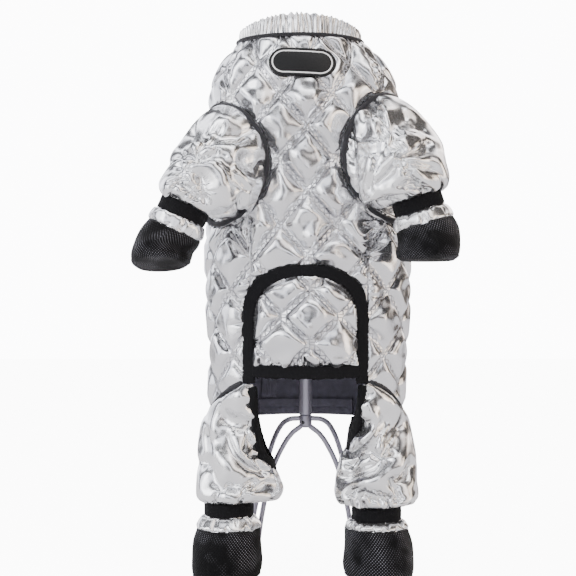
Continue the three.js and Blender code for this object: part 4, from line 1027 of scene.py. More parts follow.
flap_stitched = np.min([np.abs(p - np.round(p)) for p in flap_phases(flap_x, flap_z)], axis=0) * FLAP_DIAMOND / 2**0.5
held = 0.8 * np.exp(-((np.maximum(flap_stitched - 1.1 * MM, 0) / (0.5 * MM)) ** 2))
held = np.maximum(held, 1 - ease(0, 1.0 * MM, within))
low_edge = np.exp(-((flap_sides[1] / (9 * MM)) ** 2))
rim = np.exp(-((within / (6 * MM)) ** 2))
how = how_to_relax(flap_base.shape[:2], filling=0.12 * MM, ceiling=1 * MM + 5.5 * MM * ease(0, 9 * MM, within),
                   floor=-0.5 * MM, start=0.9 * MM)
flap_cloth = relax_cloth(flap_base, (0.09 + 0.7 * low_edge + 0.25 * rim, 0.1 + 0.35 * rim), held, flap_base, how,
                         (110, 70, 40))
flap_faces = kept(grid_triangles(FLAP_ROWS, FLAP_COLUMNS), *flap_sides)
flap_inner = flap_base - facing(flap_base, False) * 2 * MM
points, faces = walled(flap_cloth.reshape(-1, 3), flap_inner.reshape(-1, 3), flap_faces)
flat = np.stack([flap_x, flap_z], -1).reshape(-1, 2)
make_piece("belly_flap_cloth", points, faces, QUILT_CLOTH, ["belly_flap"],
           cloth=np.concatenate([flat, flat]))

# %% [markdown]
# ## The quilting stitches
# A thick zigzag of grey thread holds every diagonal. Each leg of the zigzag
# is one small spindle. Its ends are found on the relaxed cloth by reading the
# grid between its points, so the thread follows each pucker.

# %% Stitches
def between(grid, row, column):
    """Values of a grid between its points, by the rule of two crossed straight lines."""
    row = np.clip(row, 0, grid.shape[0] - 1.001)
    column = np.clip(column, 0, grid.shape[1] - 1.001)
    j, i = row.astype(int), column.astype(int)
    v, u = (row - j)[:, None], (column - i)[:, None]
    low = grid[j, i] * (1 - u) + grid[j, i + 1] * u
    high = grid[j + 1, i] * (1 - u) + grid[j + 1, i + 1] * u
    return low * (1 - v) + high * v


def spindles(start, end, out, radius):
    """Thin six-sided threads from start to end, pointed at both: rings of four corners at 1/5 and 4/5 of the way."""
    way = unit(end - start)
    aside = unit(np.cross(way, out))
    corners = [start]
    for share in (0.18, 0.82):
        middle = start + (end - start) * share
        for turn in np.arange(4) * np.pi / 2:
            corners.append(middle + radius * (np.cos(turn) * aside + np.sin(turn) * out))
    corners.append(end)
    points = np.stack(corners, 1)
    ring = []
    for k in range(4):
        a, b = 1 + k, 1 + (k + 1) % 4
        ring += [(0, b, a), (a, b, b + 4), (a, b + 4, a + 4), (9, a + 4, b + 4)]
    faces = np.array(ring)[None] + 10 * np.arange(len(points))[:, None, None]
    return points.reshape(-1, 3), faces.reshape(-1, 3)


def zigzag(first, second, pitch, width):
    """Two rows of ends beside a line: places along it, alternately to its left and its right."""
    length = np.linalg.norm(second - first)
    count = max(int(length / pitch), 2)
    way = (second - first) / length
    aside = np.array([-way[1], way[0]])
    along_it = first + np.linspace(0, 1, count + 1)[:, None] * (second - first)
    turns = along_it + np.where(np.arange(count + 1) % 2, width / 2, -width / 2)[:, None] * aside
    return turns[:-1], turns[1:]


def quilt_lines():
    """Every stitched diagonal of the trunk as pairs of (share, height), cut into short lengths."""
    starts, ends = [], []
    node = body_height(QUILT_NODE)
    low, high = body_height(-0.006), body_height(0.995)
    for number in range(-14, 15):
        for way in (1, -1):
            z = np.arange(low, high, DIAMOND_HEIGHT / 24)
            s = (number - way * (z - node) / DIAMOND_HEIGHT) / DIAMONDS_ROUND
            inside = np.abs(s) < 0.499
            pair = inside[1:] & inside[:-1]
            starts.append(np.stack([s[:-1], z[:-1]], -1)[pair])
            ends.append(np.stack([s[1:], z[1:]], -1)[pair])
    return np.concatenate(starts), np.concatenate(ends)


def stitch_trunk():
    """The trunk's threads. Places are turned into rows and columns of its grid."""
    starts, ends = quilt_lines()
    middle = (starts + ends) / 2
    odd = np.round((middle[:, 1] - body_height(QUILT_NODE)) * 24 / DIAMOND_HEIGHT - 0.5).astype(int) % 2
    width_share = 1.5 * MM / 0.43
    swing = np.where(odd, 1, -1)
    lean = np.sign((ends - starts)[:, 0])
    a = starts + np.stack([swing * width_share * 0.75, -lean * swing * 1.5 * MM * 0.66], -1)
    b = ends - np.stack([swing * width_share * 0.75, -lean * swing * 1.5 * MM * 0.66], -1)
    spots = []
    for place in (a, b):
        column = np.interp(place[:, 0], whole - 0.3 / (2 * np.pi) * np.sin(2 * np.pi * whole), np.arange(COLUMNS))
        row = (place[:, 1] - heights[0]) / (heights[1] - heights[0])
        spots.append((row, column))
    row, column = (spots[0][0] + spots[1][0]) / 2, (spots[0][1] + spots[1][1]) / 2
    clear = np.stack([arm_gap, arch_gap, hip_gap, neck_gap, seam_gap["left"], seam_gap["right"]], -1).min(-1)
    open_cloth = between(clear[..., None], row, column)[:, 0] > 1.6 * MM
    open_cloth &= between(label_reach[..., None], row, column)[:, 0] > 1.08
    normal = facing(trunk_cloth, False)
    out = between(normal, row, column)[open_cloth]
    first, second = (between(trunk_cloth, *spot)[open_cloth] + 0.15 * MM * out for spot in spots)
    return spindles(first, second, unit(out), 0.38 * MM)


def stitch_flap():
    """The flap's threads, found in the same way."""
    starts, ends = [], []
    step = FLAP_DIAMOND / 20
    z = np.arange(BAND_TOP, flap_top, step)
    for number in range(-4, 5):
        for way in (1, -1):
            x = CHEST_WIDTH * 0.02 + (number - way * (z - body_height(FLAP_NODE)) / FLAP_DIAMOND) * FLAP_DIAMOND
            odd = np.where(np.arange(len(z) - 1) % 2, 1, -1)[:, None] * np.array([1, way]) * 1.05 * MM
            starts.append(np.stack([x[:-1], z[:-1]], -1) + odd)
            ends.append(np.stack([x[1:], z[1:]], -1) - odd)
    starts, ends = np.concatenate(starts), np.concatenate(ends)
    x0, z0 = CHEST_WIDTH * ARCH_MIDDLE - half, BAND_TOP - 2 * MM
    dx, dz = 2 * half / (FLAP_COLUMNS - 1), (flap_top + 2 * MM - z0) / (FLAP_ROWS - 1)
    spots = [((p[:, 1] - z0) / dz, (p[:, 0] - x0) / dx) for p in (starts, ends)]
    middle = (starts + ends) / 2
    fits = (-arch_side(middle[:, 0], middle[:, 1], TAPE_WIDTH) * 20 * MM > 1.5 * MM) & (middle[:, 1] > BAND_TOP + 1.5 * MM)
    out = between(facing(flap_cloth, False), *((spots[0][k] + spots[1][k]) / 2 for k in (0, 1)))[fits]
    first, second = (between(flap_cloth, *spot)[fits] + 0.15 * MM * out for spot in spots)
    return spindles(first, second, unit(out), 0.36 * MM)


THREAD, _, _ = new_material("quilting thread", Base_Color=(0.5, 0.5, 0.53, 1), Metallic=0.75, Roughness=0.32)
for name, (points, faces) in (("trunk_stitching", stitch_trunk()), ("flap_stitching", stitch_flap())):
    make_piece(name, points, faces, THREAD)

# %% [markdown]
# ## Black elastic, piping and bindings
# The elastic is woven, matt and a little hairy, so its edge is never quite
# straight. A tape is a rounded oblong carried along a path on the cloth, and
# a piping is a thin round cord covered in the same dark cloth.

# %% Their finishes
def matt_cloth(name, colour, threads, rough=0.85, ribs=0.0, depth=0.12 * MM, sheen=0.3):
    """Woven textile: its threads as bump, its colour uneven by a soft noise on the piece's own space."""
    material, tree, shader = new_material(name, Sheen_Weight=sheen, Sheen_Roughness=0.4)
    shader.inputs["Specular IOR Level"].default_value = 0.15
    weave = put(tree, "ShaderNodeGroup", {"Threads per metre": threads, "Ribs": ribs}, node_tree=WEAVE)
    place = put(tree, "ShaderNodeTexCoord")
    lint = put(tree, "ShaderNodeTexNoise", {"Scale": 160.0, "Detail": 5.0, "Roughness": 0.7})
    wire(tree, (place.outputs["Object"], lint.inputs["Vector"]))
    dark = tuple(value * 0.6 for value in colour)
    light = tuple(value * 1.5 for value in colour)
    wire(tree, (tinted(tree, lint.outputs["Fac"], dark, light), shader.inputs["Base Color"]),
         (ranged(tree, lint.outputs["Fac"], rough - 0.08, rough + 0.08, 0.3, 0.7), shader.inputs["Roughness"]))
    first = bumped(tree, shader, lint.outputs["Fac"], 0.4 * MM, 0.5)
    bumped(tree, shader, weave.outputs["Height"], depth, 0.8, over=first)
    return material


ELASTIC = matt_cloth("black elastic", (0.006, 0.006, 0.007), 900.0, ribs=0.6, sheen=0.03)
PIPING_CLOTH = matt_cloth("dark piping", (0.03, 0.03, 0.034), 1600.0, rough=0.5, sheen=0.1)
LINING_CLOTH = matt_cloth("grey lining", (0.16, 0.155, 0.2), 1500.0, rough=0.55, ribs=0.7, sheen=0.2)


# %% Shapes carried along a path
def turned_outwards(points, faces):
    """The faces, with their corners the other way round if they enclose less than no volume."""
    a, b, c = (points[faces[:, k]] for k in range(3))
    return faces if (a * np.cross(b, c)).sum() > 0 else faces[:, ::-1]


def lofted(rings, closed=False):
    """A closed skin over a row of point loops, with a fan at each end unless the row is itself a loop."""
    count, size = rings.shape[:2]
    corner = np.arange(count * size).reshape(count, size)
    low, high = (corner, np.roll(corner, -1, 0)) if closed else (corner[:-1], corner[1:])
    next_low, next_high = np.roll(low, -1, 1), np.roll(high, -1, 1)
    faces = [np.stack([low, next_low, next_high], -1), np.stack([low, next_high, high], -1)]
    faces = [part.reshape(-1, 3) for part in faces]
    points = rings.reshape(-1, 3)
    if not closed:
        points = np.concatenate([points, rings[[0, -1]].mean(1)])
        for ring, tip, order in ((corner[0], count * size, -1), (corner[-1], count * size + 1, 1)):
            faces.append(np.stack([ring, np.roll(ring, -1), np.full(size, tip)], -1)[:, ::order])
    faces = np.concatenate(faces)
    return points, turned_outwards(points, faces)


def flat_map(rings, across, closed=False):
    """Each loop point's place on the flat cloth: the length along the row, and the length round the loop."""
    steps = np.linalg.norm(np.diff(rings, axis=0), axis=-1).mean(1)
    length = np.concatenate([[0], np.cumsum(steps)])
    flat = np.stack(np.broadcast_arrays(length[:, None], across[None, :]), -1).reshape(-1, 2)
    ends = [] if closed else [[[length[0], 0.0], [length[-1], 0.0]]]
    return np.concatenate([flat, *ends])


LOOP = np.linspace(0, 2 * np.pi, 28, endpoint=False)


def rounded(angle, power):
    """A cosine pressed towards its ends: sign(cos) |cos|^power."""
    return np.sign(np.cos(angle)) * np.abs(np.cos(angle)) ** power


def tape(name, surface, steps, width, low, high, replaces, ragged=0.3 * MM):
    """An elastic tape on a surface of (share of its length, share of its width), from one depth to another."""
    s = np.linspace(0, 1, steps)[:, None]
    hairs = random.standard_normal((steps, 2)) * ragged + np.stack(
        [np.interp(s[:, 0], np.linspace(0, 1, steps // 6), random.standard_normal(steps // 6)) for _ in range(2)],
        -1) * ragged
    across = 0.5 + 0.5 * rounded(LOOP, 0.35)[None, :]
    depth = 0.5 + 0.5 * rounded(LOOP - np.pi / 2, 0.5)[None, :]
    edge = np.where(across > 0.5, hairs[:, :1], hairs[:, 1:]) * np.abs(2 * across - 1) ** 3 / width
    across = across + edge
    s, across, depth = np.broadcast_arrays(s, across, depth)
    inner_s = np.clip(s, 0.002, 0.998)
    place = surface(s, across)
    way = surface(inner_s + 0.002, across) - surface(inner_s - 0.002, across)
    aside = surface(s, across + 0.05) - surface(s, across - 0.05)
    out = unit(np.cross(way, aside))
    middle = place.mean((0, 1)) * [0, 0, 1] + AXIS * [1, 1, 0]
    if ((place - middle) * out * [1, 1, 0]).sum() < 0:
        out = -out
    rings = place + (low + (high - low) * depth)[..., None] * out
    points, faces = lofted(rings)
    cloth = flat_map(rings, np.cumsum(np.full(len(LOOP), 2 * width / len(LOOP))))
    return make_piece(name, points, faces, ELASTIC, replaces, cloth=cloth)


def piping(name, path, out, radius, material, replaces, closed=False, sides=14):
    """A round cord along a path: each ring is set across the path, starting from the outward way."""
    along_it = np.roll(path, -1, 0) - np.roll(path, 1, 0) if closed else np.gradient(path, axis=0)
    aside = unit(np.cross(unit(along_it), out))
    upright = np.cross(aside, unit(along_it))
    angle = np.linspace(0, 2 * np.pi, sides, endpoint=False)
    ring = np.cos(angle)[None, :, None] * upright[:, None] + np.sin(angle)[None, :, None] * aside[:, None]
    rings = path[:, None] + np.reshape(radius, (-1, 1, 1)) * ring
    points, faces = lofted(rings, closed)
    cloth = flat_map(rings, angle * np.mean(radius), closed)
    return make_piece(name, points, faces, material, replaces, cloth=cloth)


def outwards(path):
    """Level vectors from the trunk's axis."""
    return unit((path - AXIS) * [1, 1, 0])


# %% [markdown]
# The arch binding holds the edge of the belly hole, and the straight band
# crosses it under the flap. The arch is a rounded outline that is straight
# below its spring.

# %% Arch binding and cross band
def arch_place(s, inset):
    """A place on the arch's outline: up its left side, over the round part and down its right side."""
    half = ARCH_WIDTH / 2 - inset
    top = body_height(HIP["up"][0]) + ARCH_HEIGHT - inset
    spring = top - ARCH_ROUND * ARCH_WIDTH + inset * 0.2
    angle = np.pi * (1 - np.clip((s - 0.25) / 0.5, 0, 1))
    x = half * rounded(angle, 0.86)
    z = spring + (top - spring) * np.sin(angle) ** 0.86
    down = np.maximum(np.maximum(0.25 - s, s - 0.75), 0) / 0.25
    return x + CHEST_WIDTH * ARCH_MIDDLE, z + (ARCH_FOOT - spring) * down


def on_belly(x, z):
    """A point of the trunk at a place seen from the front."""
    return trunk(turn_across(x, z), z)


def arch_surface(s, across):
    return on_belly(*arch_place(s, TAPE_WIDTH * across))


def band_surface(s, across):
    half = ARCH_WIDTH / 2 - TAPE_WIDTH + 0.6 * MM
    x = CHEST_WIDTH * ARCH_MIDDLE + half * (2 * s - 1)
    sag = 0.8 * MM * (1 - (2 * s - 1) ** 2)
    return on_belly(x, BAND_TOP - BAND_HEIGHT * across - sag)


def leg_binding_surface(name):
    """Between the leg's opening and one binding width outside it, along half an ellipse."""
    rule, paw = CROTCH[name], PAWS[name]

    def surface(s, across):
        sweep = np.pi * (0.04 + (rule["end"] - 0.04) * s)
        wider = np.radians(rule["angle"] + across * BINDING_ANGLE)
        low = rule["low"] + across * TAPE_WIDTH / (body_height(0.02) - foot_top(name))
        return leg_surface(name, np.pi + wider * np.cos(sweep), low * np.sin(sweep))
    return surface


tape("arch_binding_elastic", arch_surface, 420, TAPE_WIDTH, TAPE_LOW, TAPE_LOW + TAPE_WALL, ["arch_binding"])
tape("cross_band_elastic", band_surface, 150, BAND_HEIGHT, TAPE_LOW, TAPE_LOW + TAPE_WALL, ["cross_band"])


def leg_tape(name):
    """The black binding down a leg's inner edge; its outward way is taken away from the leg's middle."""
    surface = leg_binding_surface(name)
    s, across = np.meshgrid(np.linspace(0, 1, 260), 0.5 + 0.5 * rounded(LOOP, 0.35), indexing="ij")
    depth = 0.5 + 0.5 * rounded(LOOP - np.pi / 2, 0.5)[None, :]
    noise = random.standard_normal(s.shape[0]) * 0.25 * MM / TAPE_WIDTH
    across = across + noise[:, None] * np.abs(2 * across - 1) ** 3
    place = surface(s, across)
    way = surface(np.minimum(s + 0.003, 1), across) - surface(np.maximum(s - 0.003, 0), across)
    out = unit(np.cross(way, surface(s, across + 0.05) - surface(s, across - 0.05)))
    hub = leg_middle(name, 0.2) + [0, 0, 0]
    if ((place - hub) * out).sum() < 0:
        out = -out
    rings = place + (-1.6 * MM + (TAPE_WALL - 0.2 * MM) * depth)[..., None] * out
    points, faces = lofted(rings)
    cloth = flat_map(rings, np.cumsum(np.full(len(LOOP), 2 * TAPE_WIDTH / len(LOOP))))
    make_piece(f"leg_binding_{name}_elastic", points, faces, ELASTIC, [f"leg_binding_{name}"],
               cloth=cloth)


for name in ("left", "right"):
    leg_tape(name)

# %% [markdown]
# Dark piping runs round each armhole, along each hip and under the collar.

# %% Piping
def wavy(path, size):
    """A path with a seam's small unevenness: a few slow waves."""
    s = np.linspace(0, 2 * np.pi, len(path), endpoint=False)[:, None]
    shift = sum(random.standard_normal((1, 3)) * np.sin(s * k + random.uniform(0, 6)) / k for k in (5, 9, 14, 23))
    return path + shift * size


for name, armhole in ARMHOLES.items():
    loop = armhole_loop(armhole, np.linspace(0, 2 * np.pi, 240, endpoint=False), 0, 2.4 * MM)
    thick = PIPING * (1.35 + 0.1 * np.sin(np.arange(240) * 0.37))
    piping(f"armhole_piping_{name}_cord", wavy(loop, 0.8 * MM), outwards(loop), thick, PIPING_CLOTH,
           [f"armhole_piping_{name}"], closed=True)
    line = np.radians(np.linspace(41, 141, 120)) * armhole["side"]
    path = trunk(line, hip_height(line), 1.6 * MM)
    piping(f"hip_piping_{name}_cord", path, outwards(path), PIPING * 1.1, PIPING_CLOTH,
           [f"hip_piping_{name}"])
turns = np.linspace(0, 2 * np.pi, 300, endpoint=False)
neck_line = trunk(turns, body_height(1) - PIPING / 3, 0.9 * MM)
piping("collar_piping_cord", neck_line, outwards(neck_line), PIPING * 0.95, PIPING_CLOTH,
       ["collar_piping"], closed=True)

# %% [markdown]
# ## The gathered collar
# A strip of the silver cloth holds an elastic inside it. The elastic draws
# the strip together into many narrow upright pleats of uneven width, and its
# top edge is a little ragged.

# %% Collar
COLLAR_HEIGHT, COLLAR_WALL, COLLAR_LEAN = 15.5 * MM, 4 * MM, 7 * MM


def pleats(turn, up, count):
    """Pleat heights from 0 to 1: a folded wave whose pitch, place and depth wander from pleat to pleat."""
    widths = random.uniform(0.45, 1.6, count)
    edges = np.concatenate([[0], np.cumsum(widths)]) * 2 * np.pi / widths.sum()
    depths = random.uniform(0.35, 1, count + 1)
    depths[-1] = depths[0]
    drift = 0.035 * np.sin(turn * 5 + 1.3) * up + 0.02 * np.sin(turn * 17) * up**2
    moved = (turn + drift) % (2 * np.pi)
    number = np.interp(moved, edges, np.arange(count + 1))
    return (1 - np.abs(np.cos(np.pi * number)) ** 1.6) * np.interp(moved, edges, depths)


def collar_pieces():
    """The collar's two skins: outside from its foot over the rolled top edge, and inside down again."""
    turn, row = np.meshgrid(np.linspace(0, 2 * np.pi, 641), np.linspace(0, 1, 23))
    up = np.minimum(row / 0.86, 1)
    roll = np.maximum(row - 0.86, 0) / 0.14
    folds = pleats(turn, up, 84)
    tight = np.exp(-(((turn - np.radians(50)) / 0.2) ** 2))
    height = COLLAR_HEIGHT * (0.34 + 0.66 * np.cos(turn / 2) ** 6)
    ragged = 0.05 * np.sin(turn * 61 + 2 * np.sin(turn * 13)) + 0.05 * (folds - 0.5)
    lean = COLLAR_LEAN * up * (0.5 - 0.5 * np.cos(turn)) ** 4
    belly = 0.10 * np.sin(np.pi * up) - 0.12 * up
    out = COLLAR_WALL * (belly - 0.55 * roll) + lean + (1.4 + 1.2 * tight) * MM * (folds - 0.8) * (0.5 + 0.5 * np.sin(np.pi * up) ** 0.6)
    z = body_height(1) + GAP + height * (up * (1 + ragged) - 0.05 * roll**2)
    outer = trunk(turn, body_height(1), out)
    outer[..., 2] = z
    inner = trunk(turn, body_height(1), lean - COLLAR_WALL * (1.0 - 0.3 * roll) + 0.4 * MM * folds)
    inner[..., 2] = z - 0.3 * MM * roll
    points, faces = walled(outer.reshape(-1, 3), inner.reshape(-1, 3), grid_triangles(*turn.shape))
    flat = np.stack([turn * 0.07, row * 0.03], -1).reshape(-1, 2)
    make_piece("collar_cloth", points, faces, PLAIN_CLOTH, ["collar"],
               cloth=np.concatenate([flat, flat]))


collar_pieces()

# %% [markdown]
# ## The label
# A moulded patch with round ends: a raised rim, a bare flat middle and a thin
# white line set in from the edge. The white is a band in the patch's own map,
# where the second number is the distance from the rim.

# %% Label patch
LABEL_HALF, LABEL_RADIUS, LABEL_TILT = 13 * MM, 11 * MM, 3
WHITE_LINE = (2.1 * MM, 3.1 * MM)


def label_finish():
    """Dull black rubber with a fine grain, white where the map's distance lies inside the line."""
    material, tree, shader = new_material("black patch", Specular_IOR_Level=0.25)
    flat = put(tree, "ShaderNodeUVMap", uv_map="cloth")
    parts = put(tree, "ShaderNodeSeparateXYZ")
    wire(tree, (flat.outputs["UV"], parts.inputs[0]))
    past = put(tree, "ShaderNodeMath", {1: WHITE_LINE[0]}, operation="GREATER_THAN")
    short = put(tree, "ShaderNodeMath", {1: WHITE_LINE[1]}, operation="LESS_THAN")
    both = put(tree, "ShaderNodeMath", operation="MULTIPLY")
    wire(tree, (parts.outputs["Y"], past.inputs[0]), (parts.outputs["Y"], short.inputs[0]),
         (past.outputs[0], both.inputs[0]), (short.outputs[0], both.inputs[1]),
         (tinted(tree, both.outputs[0], (0.004, 0.004, 0.0045), (0.9, 0.9, 0.9)), shader.inputs["Base Color"]))
    place = put(tree, "ShaderNodeTexCoord")
    grain = put(tree, "ShaderNodeTexNoise", {"Scale": 900.0, "Detail": 3.0})
    wire(tree, (place.outputs["Object"], grain.inputs["Vector"]))
    wire(tree, (ranged(tree, grain.outputs["Fac"], 0.34, 0.5, 0.3, 0.7), shader.inputs["Roughness"]))
    bumped(tree, shader, grain.outputs["Fac"], 0.06 * MM, 0.5)
    return material


def label_patch():
    """Loops of the stadium outline, each drawn in by an inset and raised by a height, from the back to the middle."""
    profile = table("at inset lift", [
        (0, 11, 0.6), (0.03, 5, 0.6), (0.06, 0.6, 0.6), (0.1, 0, 0.9), (0.14, 0, 2.9), (0.2, 0.25, 3.4),
        (0.28, 0.8, 3.6), (0.38, 1.5, 3.5), (0.46, 2.0, 3.2), (0.5, 2.1, 3.2), (0.58, 3.1, 3.2),
        (0.66, 4.2, 3.2), (0.8, 7, 3.2), (0.9, 9, 3.2), (1, 11, 3.2),
    ])
    inset, lift = profile["inset"] * MM, profile["lift"] * MM
    half_turn = np.linspace(-np.pi / 2, np.pi / 2, 41)
    straight = np.linspace(LABEL_HALF, -LABEL_HALF, 33)[1:-1]
    angle = np.concatenate([half_turn, 0 * straight + np.pi / 2, half_turn + np.pi, 0 * straight - np.pi / 2])
    middle = np.concatenate([0 * half_turn + LABEL_HALF, straight, 0 * half_turn - LABEL_HALF, -straight])
    reach = np.maximum(LABEL_RADIUS - inset, 0)[:, None]
    long = reach * np.cos(angle) + middle
    tall = reach * np.sin(angle)
    tilt = np.radians(LABEL_TILT)
    x = -0.02 * CHEST_WIDTH + long * np.cos(tilt) + tall * np.sin(tilt)
    z = body_height(0.92) + tall * np.cos(tilt) - long * np.sin(tilt)
    rings = trunk(turn_across(x, z), z, np.broadcast_to(lift[:, None], x.shape))
    points, faces = lofted(rings)
    faces = faces[faces.max(1) < rings[..., 0].size]
    _, first, back = np.unique(np.round(points, 7), axis=0, return_index=True, return_inverse=True)
    faces = first[back.reshape(-1)[faces]]
    faces = faces[(faces != np.roll(faces, 1, 1)).all(1)]
    distance = np.broadcast_to(inset[:, None], x.shape)
    flat = np.stack([np.broadcast_to(angle * LABEL_RADIUS, x.shape), distance], -1).reshape(-1, 2)
    flat = np.concatenate([flat, [[0, 0], [0, LABEL_RADIUS]]])
    make_piece("label_patch_moulding", points, faces, label_finish(), ["label_patch"], cloth=flat)


label_patch()

# %% [markdown]
# ## Cuffs, gathered tops and mesh boots
# Each foot ends in an elastic cuff, a short gathered band of silver cloth and
# a knitted mesh sock. All three are placed in small frames of their own, so
# a foot can lean, turn and pitch as a whole.

# %% Frames of the feet
FEET = {
    "left": {"side": -1, "lean": 24, "top": 9.5, "scale": 0.86, "out": 9, "back": -2, "drop": 27,
             "pitch": 16, "turn": 8, "roll": -4},
    "right": {"side": 1, "lean": 17, "top": 9.5, "scale": 0.9, "out": 1.5, "back": -2, "drop": 27,
              "pitch": 2, "turn": 10, "roll": 0},
}
BOOT_WIDTH, BOOT_LENGTH, BOOT_MOUTH, BOOT_WALL = 52 * MM, 57 * MM, 48 * MM, 2 * MM
BOOT = table("at wide toe heel", [
    (0, 0.8, 0.55, 0.27), (0.07, 0.92, 0.62, 0.31), (0.25, 1, 0.67, 0.33), (0.5, 1, 0.66, 0.33),
    (0.75, 0.98, 0.57, 0.36), (1, 0.923, 0.43, 0.41),
])


def small_frame(middle, side, lean, turn, pitch):
    """A middle and a rotation about Y by the lean, then Z by the turn, then X by the pitch, all in degrees."""
    y, z, x = np.radians([-side * lean, side * turn, -pitch])
    about_y = np.array([[np.cos(y), 0, np.sin(y)], [0, 1, 0], [-np.sin(y), 0, np.cos(y)]])
    about_z = np.array([[np.cos(z), -np.sin(z), 0], [np.sin(z), np.cos(z), 0], [0, 0, 1]])
    about_x = np.array([[1, 0, 0], [0, np.cos(x), -np.sin(x)], [0, np.sin(x), np.cos(x)]])
    return np.asarray(middle), about_y @ about_z @ about_x


def placed(frame, x, y, z):
    """Points of a small frame, with x to +X, y to the back and z up along the foot."""
    middle, rotation = frame
    return np.stack(np.broadcast_arrays(x, y, z), -1) @ rotation.T + middle


def moved_down(frame, depth):
    """The same frame further down its own z."""
    return placed(frame, 0, 0, -depth), frame[1]


def front_foot(name):
    foot = FEET[name]
    start = small_frame(sleeve_middle(name, np.array(1.0)), foot["side"], foot["lean"], 0, 0)
    lower = CUFF_HEIGHT + foot["top"] * MM
    mouth = moved_down(start, lower + 3 * GAP)
    heel = mouth[0] + np.array([foot["side"] * foot["out"], foot["back"], -foot["drop"]]) * MM
    sole = small_frame(heel, foot["side"], foot["roll"], foot["turn"], foot["pitch"])
    return (moved_down(start, GAP), moved_down(start, CUFF_HEIGHT + 2 * GAP), moved_down(start, lower + 2 * GAP),
            mouth, sole, foot["scale"])


def hind_foot(name):
    paw = PAWS[name]
    ankle = leg_middle(name, np.array(1.0))

    def level(height, turn=0):
        return small_frame([ankle[0], ankle[1], height], paw["side"], 0, turn, 0)
    return (level(foot_top(name) - GAP), level(BOOT_HEIGHT + paw["top"] + GAP), level(BOOT_HEIGHT + GAP),
            level(BOOT_HEIGHT, paw["turn"]), level(0, paw["turn"]), 1.0)


# %% Making the feet
def mesh_finish():
    """Knitted mesh: a diamond grid of small holes on the boot's own map, each a bright dot sunk in black threads."""
    material, tree, shader = new_material("boot mesh", Sheen_Weight=0.04, Sheen_Roughness=0.4)
    shader.inputs["Specular IOR Level"].default_value = 0.15
    flat = put(tree, "ShaderNodeUVMap", uv_map="cloth")
    turned = put(tree, "ShaderNodeMapping")
    turned.inputs["Rotation"].default_value = (0, 0, np.pi / 4)
    turned.inputs["Scale"].default_value = (640, 560, 1)
    holes = put(tree, "ShaderNodeTexVoronoi", {"Scale": 1.0, "Randomness": 0.0}, voronoi_dimensions="2D")
    place = put(tree, "ShaderNodeTexCoord")
    uneven = put(tree, "ShaderNodeTexNoise", {"Scale": 45.0, "Detail": 2.0})
    hole = ranged(tree, holes.outputs["Distance"], 1.0, 0.0, 0.12, 0.26)
    seen = put(tree, "ShaderNodeMath", operation="MULTIPLY", use_clamp=True)
    wire(tree, (flat.outputs["UV"], turned.inputs["Vector"]), (turned.outputs[0], holes.inputs["Vector"]),
         (place.outputs["Object"], uneven.inputs["Vector"]), (hole, seen.inputs[0]),
         (ranged(tree, uneven.outputs["Fac"], 0.0, 1.1, 0.4, 0.62), seen.inputs[1]))
    wire(tree, (tinted(tree, seen.outputs[0], (0.0025, 0.0025, 0.003), (0.26, 0.26, 0.29)), shader.inputs["Base Color"]),
         (ranged(tree, seen.outputs[0], 0.85, 0.3), shader.inputs["Roughness"]),
         (ranged(tree, seen.outputs[0], 0.0, 0.8), shader.inputs["Metallic"]))
    bumped(tree, shader, holes.outputs["Distance"], 0.7 * MM, 0.9)
    return material


BOOT_MESH = mesh_finish()


def cuff(name, frame, replaces):
    """The elastic ring: a rounded oblong section, with fine upright ribs and a slow unevenness."""
    angle = np.linspace(0, 2 * np.pi, 160, endpoint=False)[:, None]
    out = -0.5 + 0.5 * rounded(LOOP, 0.6)[None, :]
    down = 0.5 + 0.5 * rounded(LOOP - np.pi / 2, 0.4)[None, :]
    ribs = 0.12 * MM * np.sin(angle * 60) * (out > -0.6)
    uneven = 0.5 * MM * np.sin(angle * 3 + 1) * np.sin(down * 3) + 0.25 * MM * np.sin(angle * 7)
    radius = CUFF_WIDTH / 2 + 0.3 * MM + CUFF_WALL * out + ribs + uneven * 0.6
    ragged = random.standard_normal((160, 1)) * 0.15 * MM
    drop = -CUFF_HEIGHT * down + ragged + 0.4 * MM * np.sin(angle * 4)
    rings = placed(frame, radius * np.cos(angle), radius * np.sin(angle), drop)
    points, faces = lofted(rings, closed=True)
    cloth = flat_map(rings, np.cumsum(np.full(len(LOOP), 1.2 * MM)), closed=True)
    make_piece(name, points, faces, ELASTIC, replaces, cloth=cloth)


